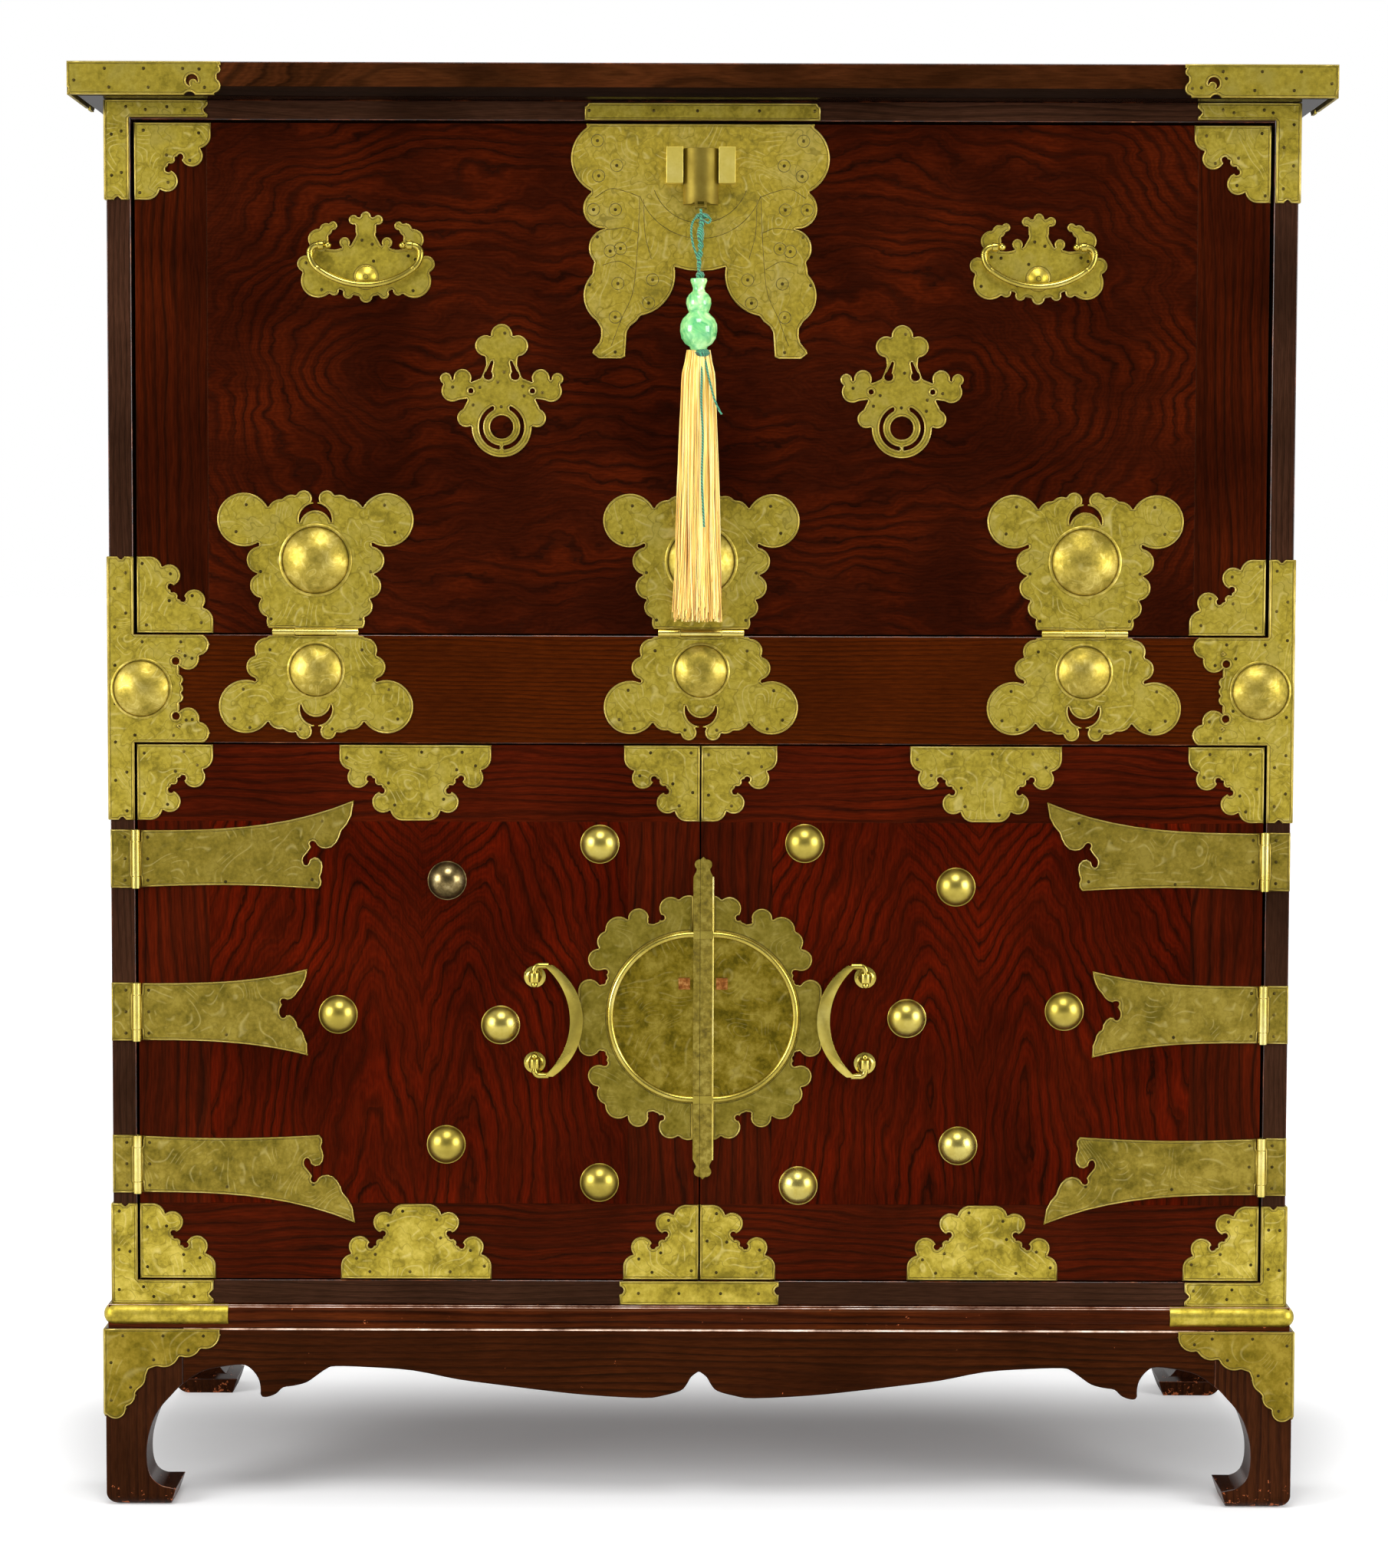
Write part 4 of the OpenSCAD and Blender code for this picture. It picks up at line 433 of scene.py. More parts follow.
plateBrass = {
    # lengths in mm: size of the clouds, spots, flow lines and groups, and the distance between strokes
    "dark": "#857626", "base": "#B7A33A", "light": "#D6C157", "bright": "#F0E092", "cut": "#6A5C1C",
    "cloud": 20, "speckle": 0.3, "flow": 40, "stroke": 2.5, "group": 13, "engraved": 0.36,
    "rough": (0.34, 0.5), "bump": 0.35, "spot": 3.2,
}
smoothBrass = dict(plateBrass, engraved=0, speckle=0.08, bump=0.03, cloud=45)
brasses = {
    "engravedBrass": plateBrass,
    "lockBrass": dict(plateBrass, cloud=36, dark="#84752A", base="#BCA53A", light="#E4CC62"),
    "hammeredBrass": dict(plateBrass, engraved=0, bump=0.15),
    "capBrass": dict(plateBrass, engraved=0, bump=0.15, dark="#7B6D22", base="#A89535", light="#C6B34F"),
    "strapBrass": dict(plateBrass, flow=46, engraved=0.22, dark="#665A1C", base="#8C7A2C", light="#A8943E"),
    "legBrass": dict(plateBrass, flow=60, group=19, engraved=0.16, dark="#6C5E18", base="#8C7824",
        light="#A69036"),
    "bossBrass": dict(plateBrass, engraved=0.22, flow=16, stroke=1.9, group=8, cloud=16, speckle=0.3,
        bump=0.25, rough=(0.4, 0.52), dark="#7F712A", base="#A3903C", light="#BEAB56"),
    "studBrass": dict(smoothBrass, rough=(0.26, 0.34), dark="#A6943E", base="#BCA94E", light="#D2C36E"),
    "darkStud": dict(smoothBrass, rough=(0.26, 0.36), cloud=9, dark="#51452A", base="#786741",
        light="#A3946A"),
    "wireBrass": dict(smoothBrass, rough=(0.2, 0.3), dark="#A08E3A", base="#BCA94C", light="#D6C56C"),
    "keeperBrass": dict(smoothBrass, rough=(0.42, 0.5), dark="#B7A448", base="#CBB858", light="#DECD74"),
    "slideBrass": dict(smoothBrass, rough=(0.5, 0.56), bump=0, dark="#5E4F1B", base="#6F5F24",
        light="#80702F"),
    "barBrass": dict(plateBrass, engraved=0, cloud=7, base="#8E7C30", dark="#6A5C26", light="#B09E4C",
        bump=0.3),
    "discBrass": dict(plateBrass, engraved=0.12, cloud=17, dark="#54490F", base="#7E6C1C", light="#A18E38"),
    "scallopBrass": dict(plateBrass, engraved=0.12, cloud=16, dark="#6A5E1A", base="#85762A",
        light="#9C8C3C"),
    # a lighter brass: painted highlight on the hinge barrels and pins and along the bar's edge
    "hingeBrass": dict(smoothBrass, rough=(0.2, 0.3), dark="#BCA74A", base="#D4C268", light="#EADC90"),
    "rimBrass": dict(smoothBrass, dark="#94823A", base="#B5A150", light="#CFBE72"),
    "nailBrass": dict(smoothBrass, rough=(0.4, 0.5), dark="#2A2210", base="#443A1A", light="#6A5C2A"),
    "copperSheet": dict(smoothBrass, rough=(0.4, 0.5), cloud=4, dark="#6A3A1A", base="#9A602C",
        light="#D09858"),
}
brassMaterials = {name: agedBrass(name, settings) for name, settings in brasses.items()}


def flossSilk():
    # untwisted silk: fine shiny threads, each cream, straw or gold
    material, add, shader, place = newMaterial("flossSilk")
    own = add("Attribute", attribute_name="tone")
    stretched = add("Mapping", {"Vector": place, "Scale": (500, 500, 14)})
    streaks = add("TexNoise", {"Vector": stretched, "Scale": 1, "Detail": 2})
    mixed = add("Math.MULTIPLY_ADD", (own.outputs["Fac"], 0.5, streaks))
    tone = add("ValToRGB", (mixed,))
    setRamp(tone, [(0.42, "#A8701A"), (0.6, "#DCA636"), (0.76, "#F2CA58"), (0.98, "#FAE494")])
    feed(shader, {"Base Color": tone, "Roughness": 0.45, "Sheen Weight": 0.5})
    return material


# old polish and dirt left in the cut lines and round the nails of the brass: dull, brown-green
grime = mottledFinish("grooveGrime", {"Scale": 300, "Detail": 2}, [(0.35, "#4A4014"), (0.65, "#75682A")],
    {"Metallic": 0.7, "Roughness": 0.55})
# jade, turned and polished: cloudy green, light passes a little
jade = mottledFinish("greenJade", {"Scale": 90, "Detail": 3, "Distortion": 1.2},
    [(0.3, "#3E9A60"), (0.5, "#7FC57C"), (0.68, "#C2EEA8")],
    {"Roughness": 0.12, "IOR": 1.62, "Subsurface Weight": 0.3, "Subsurface Scale": 0.004})
silk = flossSilk()
print("materials made:", len(bpy.data.materials))


# Copies of the solids, with soft edges

bodyOf = {node: body for body, nodes in frame["record"]["behaviour"]["bodies"].items() for node in nodes}
ahead = (0, -1, 0)


def pieceName(node):
    words = node.split("_")
    return words[0] + "".join(word.title() for word in words[1:])


def mergedShape(mesh):
    # the solid's loose triangles, joined to its flat faces
    shape = bmesh.new()
    shape.from_mesh(mesh)
    bmesh.ops.remove_doubles(shape, verts=shape.verts, dist=2e-6)
    bmesh.ops.dissolve_limit(shape, angle_limit=math.radians(0.4), verts=shape.verts, edges=shape.edges)
    return shape


def mergedCopy(node, cuts=()):
    # cuts: heights in mm at which the faces are split
    mesh = frame["nodes"][node].data.copy()
    mesh.materials.clear()
    shape = mergedShape(mesh)
    for height in cuts:
        everything = list(shape.verts) + list(shape.edges) + list(shape.faces)
        bmesh.ops.bisect_plane(shape, geom=everything, plane_co=(0, 0, height * mm), plane_no=(0, 0, 1))
    shape.to_mesh(mesh)
    shape.free()
    return newPiece(pieceName(node), mesh)


def flattenBroad(mesh, ratio=12, turn=2):
    # a broad face beside narrow ones keeps a flat shine, and the rounded edge takes the turn (in degrees)
    shape = bmesh.new()
    shape.from_mesh(mesh)
    areas = {face: face.calc_area() for face in shape.faces}
    for edge in shape.edges:
        if len(edge.link_faces) == 2:
            low, high = sorted(areas[face] for face in edge.link_faces)
            if high > ratio * low and edge.calc_face_angle() > math.radians(turn):
                edge.smooth = False
    shape.to_mesh(mesh)
    shape.free()


def dress(node, finishes, edge, worn=0, pick=None, cuts=(), angle=32, rounded=0):
    # a copy of the solid: worn is the finish of its rounded edges, pick gives each face its finish,
    # rounded is the number of steps round the edges of a piece without flat faces
    piece = mergedCopy(node, cuts)
    for finish in finishes:
        piece.data.materials.append(finish)
    if edge:
        bevel = piece.modifiers.new("softEdges", "BEVEL")
        bevel.width = edge * mm
        bevel.segments = rounded or 2
        bevel.limit_method = "ANGLE"
        bevel.angle_limit = math.radians(angle)
        bevel.material = worn
        bakeModifiers(piece)
    smoothFaces(piece.data, angle + 3)
    if not rounded:
        flattenBroad(piece.data)
    if pick:
        for face in piece.data.polygons:
            chosen = pick(face.center / mm)
            face.material_index = face.material_index if chosen is None else chosen
    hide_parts(node)
    return joinBody(piece, bodyOf[node])


woodNodes = {
    "top_board": "topWood", "front_posts": "postWood", "rear_posts": "sidePostWood",
    "upper_rail": "railWood", "mid_rail": "midRailWood", "lower_rail": "railWood", "side_rails": "railWood",
    "side_panels": "sidePanelWood", "back_panel": "backWood", "divider_board": "innerWood",
    "case_floor": "innerWood", "shelf": "innerWood", "shelf_battens": "innerWood",
    "stand_moulding": "mouldingWood", "front_apron": "standWood", "side_aprons": "standWood",
    "rear_apron": "standWood", "legs": "legWood",
}
leafNodes = {
    "flap_panel": "flapPanelWood", "flap_battens": "flapEndWood",
    "left_door_panel": "doorPanelWood", "right_door_panel": "doorPanelWood",
}
# widths of the softened edges, in mm
woodEdges = {"case": 0.7, "stand": 1.2, "leaf": 0.25}
standNodes = ("stand_moulding", "front_apron", "side_aprons")
lowerFaces = {
    # finish of the faces below a height in mm: the top board's underside and chamfer lie in its own shade,
    # and get a darker wood as painted shade;
    # of the stand's edges only the upper ones get the near-white finish, partly wear and partly painted
    # highlight
    "top_board": (chest["zTop"] + chest["topChamfer"] + 0.8, 2),
    "stand_moulding": (chest["zCase"] - 8, 0),
    "front_apron": (chest["legTop"] - 4, 0), "side_aprons": (chest["legTop"] - 4, 0),
}


def finishBelow(height, finish):
    return lambda place: finish if place.z < height else None


for node, wood in woodNodes.items():
    onStand = node in standNodes
    finishes = [woodMaterials[wood], brightEdge if onStand else wornEdge]
    finishes += [woodMaterials["underWood"]] * (node == "top_board")
    dress(node, finishes, woodEdges["stand" if onStand else "case"], worn=1,
          pick=finishBelow(*lowerFaces[node]) if node in lowerFaces else None)
for node, wood in leafNodes.items():
    dress(node, [woodMaterials[wood]], woodEdges["leaf"])


def frameFace(place):
    # the grain of a door frame runs along each of its members: bands at head and foot, stiles between
    return int(place.z > doorFrame["headBand"] or place.z < doorFrame["footBand"])


# heights in mm at which the bands meet the stiles
doorFrame = {"headBand": 544.3, "footBand": 241.7}
for node in ("left_door_frame", "right_door_frame"):
    dress(node, [woodMaterials["doorStileWood"], woodMaterials["doorBandWood"]], woodEdges["leaf"],
          pick=frameFace, cuts=doorFrame.values())
print("wood dressed")


# Brass plates, locks and hinges

lock = {
    # lengths in mm; slack, barOver and tabOver are how far a face may lie off its place
    "x": 2.4, "barHalf": 7.8, "barFront": 3.6, "ring": 66.5, "ringUp": 1.0, "beadIn": 4.1, "disc": 1.8,
    "beadRing": 65.2, "beadRadius": 2.68, "tabUp": (20.0, 33.0), "slack": 0.02, "barOver": 0.1,
    "tabOver": 0.05,
}
lockFinishes = ["scallopBrass", "discBrass", "wireBrass", "barBrass", "copperSheet"]


def lockFace(place):
    # numbers of lockFinishes: scalloped plate, round disc, bead round it, bar over the seam, copper tabs
    fromMiddle = abs(place.x - lock["x"])
    up = place.z - chest["lockZ"] - lock["ringUp"]
    out = chest["front"] - chest["plate"] - place.y
    if fromMiddle < lock["barHalf"] + lock["slack"]:
        return 2 if out > lock["barFront"] + lock["barOver"] else 3
    if out < lock["slack"]:
        return 0
    if math.hypot(fromMiddle - lock["barHalf"], up) > lock["ring"] - lock["beadIn"]:
        return 2
    isTab = out > lock["disc"] + lock["tabOver"] and lock["tabUp"][0] < up < lock["tabUp"][1]
    return 4 if isTab else 1


plates = {
    "flap_corner_plates": "engravedBrass", "lock_plate": "lockBrass", "bail_plates": "hammeredBrass",
    "flap_ornaments": "hammeredBrass", "flap_hinge_leaves": "engravedBrass",
    "rail_hinge_leaves": "engravedBrass", "frame_corner_plates": "engravedBrass",
    "rail_plates": "hammeredBrass", "leg_plates": "legBrass", "left_door_plates": "engravedBrass",
    "right_door_plates": "engravedBrass", "left_door_straps": "strapBrass",
    "right_door_straps": "strapBrass", "top_caps": "capBrass", "stand_caps": "hammeredBrass",
    "post_hinge_leaves": "strapBrass", "lock_keepers": "keeperBrass", "lock_slide": "slideBrass",
}
wires = {
    "hinge_pins": "hingeBrass", "bail_posts": "wireBrass", "left_bail": "wireBrass",
    "right_bail": "wireBrass", "left_pull_posts": "wireBrass", "right_pull_posts": "wireBrass",
    "left_pull": "wireBrass", "right_pull": "wireBrass",
}
brassEdges = {"plate": 0.3, "wire": 1.0, "pull": 2.1}
# play is how far a face may lie off a barrel, in mm
barrels = {"doorRadius": 3.5, "flapRadius": 2.65, "play": 0.15}


def barrelFace(place):
    # the rolled barrels of the hinges get a lighter brass, a painted highlight
    out = chest["front"] - chest["strap"] - place.y
    besideDoor = abs(abs(place.x) - chest["doorAxisX"]) < barrels["doorRadius"] + barrels["play"]
    besideFlap = abs(place.z - chest["flapAxisZ"]) < barrels["flapRadius"] + barrels["play"]
    return 1 if (besideDoor or besideFlap) and out > barrels["play"] else 0


plateSides = {node: (ahead, (1, 0, 0), (-1, 0, 0)) for node in ("frame_corner_plates", "leg_plates")}
brassPieces = {}
for node, brass in plates.items():
    hinged = "hinge" in node or "straps" in node
    finishes = [brassMaterials[brass]] + [brassMaterials["hingeBrass"]] * hinged
    brassPieces[node] = dress(node, finishes, brassEdges["plate"], pick=barrelFace if hinged else None)
for node, brass in wires.items():
    edge = brassEdges["pull" if node.endswith("pull") else "wire"]
    brassPieces[node] = dress(node, [brassMaterials[brass]], edge, angle=62, rounded=4)
for node in ("left_lock_half", "right_lock_half"):
    finishes = [brassMaterials[name] for name in lockFinishes]
    brassPieces[node] = dress(node, finishes, brassEdges["plate"], pick=lockFace)
print("brass dressed")


# Rims and engraved border lines along the outlines of the plates

def outlineLoops(node, facing, same=0.999):
    # the outlines of the flat faces that look along facing, as closed rings of points
    shape = mergedShape(frame["nodes"][node].data)
    facing = Vector(facing)
    nextOf = {}
    for face in shape.faces:
        if face.normal.dot(facing) < same:
            continue
        for loop in face.loops:
            other = [f for f in loop.edge.link_faces if f is not face]
            if other and other[0].normal.dot(facing) > same:
                continue
            nextOf.setdefault(loop.vert.index, []).append(loop.link_loop_next.vert.index)
    places = [v.co.copy() for v in shape.verts]
    shape.free()
    rings = []
    while nextOf:
        start = next(iter(nextOf))
        ring, here = [], start
        while here in nextOf:
            ring.append(here)
            options = nextOf[here]
            step = options.pop()
            if not options:
                del nextOf[here]
            here = step
            if here == start:
                break
        if len(ring) > 2:
            rings.append([places[i] for i in ring])
    return rings


def insetLines(rings, facing, inset, pitch, share=0.97):
    # the outlines moved inwards; samples closer to any edge than this share of the inset are left out
    facing = Vector(facing)
    samples, edges = [], []
    for number, ring in enumerate(rings):
        for a, b in zip(ring, ring[1:] + ring[:1]):
            length = (b - a).length
            if length < 1e-7:
                continue
            edges.append((np.array(a), np.array(b)))
            inward = facing.cross(b - a).normalized()
            count = max(1, round(length / (pitch * mm)))
            samples += [(number, a.lerp(b, (k + 0.5) / count) + inward * inset * mm) for k in range(count)]
    if not samples:
        return []
    places = np.array([place for _, place in samples])
    nearest = np.full(len(places), np.inf)
    for a, b in edges:
        run = b - a
        t = np.clip((places - a) @ run / float(run @ run), 0, 1)
        nearest = np.minimum(nearest, np.linalg.norm(places - (a + t[:, None] * run), axis=1))
    lines, current, last = [], [], None
    for (number, place), near in zip(samples, nearest):
        if number != last or (current and (place - current[-1]).length > (3 * inset + 2 * pitch) * mm):
            lines.append(current)
            current, last = [], number
        if near > inset * mm * share:
            current.append(place)
    lines.append(current)
    return [line for line in lines if len(line) > 1]


def withoutSpares(line, longest=12, straight=0.9998):
    # points on a straight stretch aren't needed
    kept = [line[0]]
    for here, after in zip(line[1:], line[2:]):
        a, b = here - kept[-1], after - here
        if a.length > longest * mm or a.normalized().dot(b.normalized()) < straight:
            kept.append(here)
    return kept + [line[-1]]


def sweptTree():
    # a round wire along every edge path of the mesh
    tree, add, given = newTree("sweptWire", {"Radius": "Float", "Sides": "Int", "Finish": "Material"})
    path = add("MeshToCurve", {"Mesh": given["Geometry"]})
    section = add("CurvePrimitiveCircle", {"Resolution": given["Sides"], "Radius": given["Radius"]})
    wire = add("CurveToMesh", {"Curve": path, "Profile Curve": section, "Fill Caps": True})
    smooth = add("SetShadeSmooth", {"Geometry": wire, "Shade Smooth": True})
    return endTree(tree, smooth, given["Finish"])


sweptWire = sweptTree()


def sweepLines(name, lines, radius, finish, sides=4, closeUnder=4):
    vertices, edges = [], []
    for line in lines:
        start = len(vertices)
        vertices += [tuple(place) for place in line]
        edges += [(start + i, start + i + 1) for i in range(len(line) - 1)]
        if len(line) > 8 and (line[0] - line[-1]).length < closeUnder * mm:
            edges.append((start + len(line) - 1, start))
    mesh = bpy.data.meshes.new(name)
    mesh.from_pydata(vertices, edges, [])
    return runTree(newPiece(name, mesh), sweptWire, Radius=radius * mm, Sides=sides, Finish=finish)


def smoothLine(points, steps=6):
    # a smooth curve through the points
    padded = [2 * points[0] - points[1]] + points + [2 * points[-1] - points[-2]]
    line = []
    for a, b, c, d in zip(padded, padded[1:], padded[2:], padded[3:]):
        square, cube = 2 * a - 5 * b + 4 * c - d, 3 * b - 3 * c + d - a
        for t in (k / steps for k in range(steps)):
            line.append(0.5 * (2 * b + (c - a) * t + square * t ** 2 + cube * t ** 3))
    return line + [points[-1]]


rimmed = [node for node in plates if node not in ("lock_keepers", "lock_slide", "stand_caps")]
rimmed += ["left_lock_half", "right_lock_half"]
edgeLines = {
    "Rims": {"inset": 0.55, "pitch": 1.3, "radius": 0.55, "finish": brassMaterials["rimBrass"],
             "slot": "aged_brass"},
    "BorderLines": {"inset": 1.9, "pitch": 1.3, "radius": 0.24, "finish": grime, "slot": "dark_brass"},
}
outlines = {(node, facing): outlineLoops(node, facing)
            for node in rimmed for facing in plateSides.get(node, (ahead,))}
plateFront = (chest["front"] - chest["plate"]) * mm
for node in ("left_lock_half", "right_lock_half"):
    onFront = [ring for ring in outlines[node, ahead] if abs(ring[0].y - plateFront) < 0.1 * mm]
    outlines[node, ahead] = onFront
for name, s in edgeLines.items():
    byBody = {}
    for (node, facing), rings in outlines.items():
        lines = [withoutSpares(line) for line in insetLines(rings, facing, s["inset"], s["pitch"])]
        byBody.setdefault(bodyOf[node], []).extend(lines)
    for body, lines in byBody.items():
        wire = sweepLines(pieceName(body) + name, lines, s["radius"], s["finish"])
        joinBody(wire, body)
print("rims and border lines swept")

engravings = {
    # lines across and down from the top middle of the flap's lock plate, in mm, mirrored
    "lockPlate": [[(47, -56), (48.5, -90), (52, -128), (61, -150), (69, -171)],
                  [(44, -58), (43, -84), (38, -104)], [(82, -57), (70, -50), (58, -52), (47, -56)],
                  [(76, -82), (68, -81), (58, -80), (48, -84)],
                  [(76, -109), (70, -107), (62, -106), (51, -112)]],
    "arcs": {"middle": (0, -38), "radii": (38, 50), "from": 200, "to": 340},
    "radius": 0.3, "edgeRadius": 0.75, "barHalfLength": 112,
}


def arcPlaces(radius, start, end, step):
    # across and up in mm, from one turn to the other in degrees
    turns = [math.radians(a) for a in range(start, end + 1, step)]
    return [(radius * math.cos(a), radius * math.sin(a)) for a in turns]


def makeEngravings(s):
    front = chest["front"] - chest["plate"]
    x0, z0 = s["arcs"]["middle"]
    lines = [[(side * x, z) for x, z in line] for line in s["lockPlate"] for side in (-1, 1)]
    for radius in s["arcs"]["radii"]:
        lines.append([(x0 + x, z0 + z) for x, z in arcPlaces(radius, s["arcs"]["from"], s["arcs"]["to"], 4)])
    lines = [[Vector((chest["lockPlateX"] + x, front, chest["flapHead"] + z)) * mm for x, z in line]
             for line in lines]
    engraved = sweepLines("lockPlateLines", [smoothLine(line) for line in lines], s["radius"], grime)
    joinBody(engraved, bodyOf["lock_plate"])
    # painted highlight: a thin light wire along the lit edge of the bar over the seam
    barX, barY = lock["x"] + lock["barHalf"], front - lock["barFront"]
    barLine = [Vector((barX, barY, chest["lockZ"] + s["barHalfLength"] * up)) * mm for up in (-1, 0, 1)]
    barEdge = sweepLines("barEdge", [barLine], s["edgeRadius"], brassMaterials["hingeBrass"], sides=8)
    joinBody(barEdge, bodyOf["right_lock_half"])
    ringZ = chest["lockZ"] + lock["ringUp"]
    for node, side in (("left_lock_half", -1), ("right_lock_half", 1)):
        # a round bead over the rim of the disc
        line = [Vector((lock["x"] + side * (lock["barHalf"] + x), front - lock["disc"], ringZ + z)) * mm
                for x, z in arcPlaces(lock["beadRing"], -90, 90, 3)]
        wire = brassMaterials["wireBrass"]
        bead = sweepLines(pieceName(node) + "Bead", [line], lock["beadRadius"], wire, sides=16)
        joinBody(bead, bodyOf[node])


makeEngravings(engravings)
print("engraved lines swept")


# Nails and domes, placed by geometry nodes

def lathe(name, profile, material=None, centre=(0, 0, 0), steps=48):
    # profile: (radius, height) pairs in mm, turned about the upright through centre; a pole is one point
    shape = bmesh.new()
    rings = []
    for radius, height in profile:
        turns = [2 * math.pi * i / steps for i in range(steps if radius > 0.01 else 1)]
        ring = [Vector((radius * math.cos(a), radius * math.sin(a), height)) for a in turns]
        rings.append([shape.verts.new((Vector(centre) + place) * mm) for place in ring])
    for low, high in zip(rings, rings[1:]):
        for i in range(steps):
            j = i + 1
            corners = [low[i % len(low)], low[j % len(low)], high[j % len(high)], high[i % len(high)]]
            corners = list(dict.fromkeys(corners))
            if len(corners) > 2:
                shape.faces.new(corners)
    bmesh.ops.recalc_face_normals(shape, faces=shape.faces)
    mesh = bpy.data.meshes.new(name)
    shape.to_mesh(mesh)
    shape.free()
    smoothFaces(mesh, 50)
    return newPiece(name, mesh, material)


def placedTree():
    # one copy of a shape at every point, turned to the point's facing
    tree, add, given = newTree("placedShapes", {"Shape": "Object", "Finish": "Material"})
    shape = add("ObjectInfo", {"Object": given["Shape"]})
    facing = add("InputNamedAttribute", {"Name": "facing"}, data_type="FLOAT_VECTOR")
    size = add("InputNamedAttribute", {"Name": "size"}, data_type="FLOAT")
    turn = add("AlignRotationToVector", {"Vector": facing}, axis="Z")
    copies = add("InstanceOnPoints", {"Points": given["Geometry"], "Instance": shape.outputs["Geometry"],
        "Rotation": turn, "Scale": size})
    return endTree(tree, copies, given["Finish"])


placedShapes = placedTree()


def placeShapes(name, shape, places, finish):
    # places: (point in m, facing, size)
    mesh = bpy.data.meshes.new(name)
    mesh.from_pydata([tuple(point) for point, _, _ in places], [], [])
    facing = mesh.attributes.new("facing", "FLOAT_VECTOR", "POINT")
    facing.data.foreach_set("vector", [c for _, direction, _ in places for c in direction])
    size = mesh.attributes.new("size", "FLOAT", "POINT")
    size.data.foreach_set("value", [s for _, _, s in places])
    return runTree(newPiece(name, mesh), placedShapes, Shape=shape, Finish=finish)


nails = {
    "radius": 1.35, "height": 0.55, "ringRadius": 4.8, "ringHalf": 0.35, "ringHeight": 0.12,
    "ringClear": 1.5, "edgeIn": 5.6, "edgeStep": 30, "edgePitch": 2.0, "edgeStart": 0.3,
    # places in mm: cloud plates from their corner, hinge leaves from the axis, lock plate from its top middle
    "cloud": [(9, 6), (52, 8), (45, 29), (27, 25), (28, 46), (6, 54)],
    "upperLeaf": [(54, 99), (62, 78), (43, 47), (35, 10)],
    "lowerLeaf": [(36, -14), (57, -45), (64, -68), (52, -75), (12.5, -76)],
    "lockPlate": [(80, -13), (79, -40), (65, -32), (83, -66), (66, -66), (80, -87), (62, -96), (70, -98),
                  (86, -124), (64, -123), (37, -120), (40, -138), (66, -149), (66, -176)],
    # straps and post leaves from the axis and the middle of a hinge, inwards and outwards
    "strap": [(-9, 17), (-9, 0), (-9, -17), (-146, 30), (-138, -16), (-70, -18)],
    "postLeaf": [(9, 17), (9, 0), (9, -17)],
    # a row on the head strip and one on the sill plate, with their heights above zHead and zCase
    "headStrip": (-88, -38, -4, 44, 87), "headStripUp": 7.7, "sillPlate": (-48, -16, 17, 47),
    "sillPlateUp": 9.5, "doorHinges": (514.3, 393.5, 272.7),
}


def mirrored(spots, places, reach=0.0):
    # the places beside each spot, on both sides: reach is how far the spot's corner is from it
    return [(x0 + side * (reach + x), z0 + z) for x0, z0 in spots for x, z in places for side in (-1, 1)]


def nailPlaces(s):
    # (x, z) places by node, seen from the front
    flapHalf = chest["openX"] - chest["flapGap"]
    cloud = mirrored([(0, chest["flapFoot"])], [(-x, z) for x, z in s["cloud"]], flapHalf)
    cloud += mirrored([(0, chest["flapHead"])], [(-x, -z) for x, z in s["cloud"]], flapHalf)
    hinges = [(x, chest["flapAxisZ"]) for x in chest["hinges"]]
    doorHinges = [(0, z) for z in s["doorHinges"]]
    straps = mirrored(doorHinges, s["strap"], chest["doorAxisX"])
    rails = [(x, chest["zHead"] + s["headStripUp"]) for x in s["headStrip"]]
    rails += [(x, chest["zCase"] + s["sillPlateUp"]) for x in s["sillPlate"]]
    return {
        "flap_corner_plates": cloud, "rail_plates": rails,
        "left_door_straps": straps, "right_door_straps": straps,
        "flap_hinge_leaves": mirrored(hinges, s["upperLeaf"]),
        "rail_hinge_leaves": mirrored(hinges, s["lowerLeaf"]),
        "lock_plate": mirrored([(chest["lockPlateX"], chest["flapHead"])], s["lockPlate"]),
        "post_hinge_leaves": mirrored(doorHinges, s["postLeaf"], chest["doorAxisX"]),
    }


def onPlate(piece, x, z):
    # the points of the piece that show at the places (x, z) from the front, where its face looks ahead
    mesh = piece.data
    tree = BVHTree.FromPolygons([v.co for v in mesh.vertices], [p.vertices for p in mesh.polygons])
    found = []
    for px, pz in zip(x, z):
        hit, normal, _, _ = tree.ray_cast(Vector((px * mm, -1, pz * mm)), Vector((0, 1, 0)))
        if hit and normal.y < -0.99:
            found.append((hit, ahead, 1.0))
    return found


def edgeNails(node, s):
    # nails along the outline, for the plates without a list
    found = []
    for facing in plateSides.get(node, (ahead,)):
        for line in insetLines(outlines[node, facing], facing, s["edgeIn"], s["edgePitch"]):
            travelled = s["edgeStart"] * s["edgeStep"] * mm
            for a, b in zip(line, line[1:]):
                travelled += (b - a).length
                if travelled > s["edgeStep"] * mm:
                    found.append((b, facing, 1.0))
                    travelled = 0
    return found


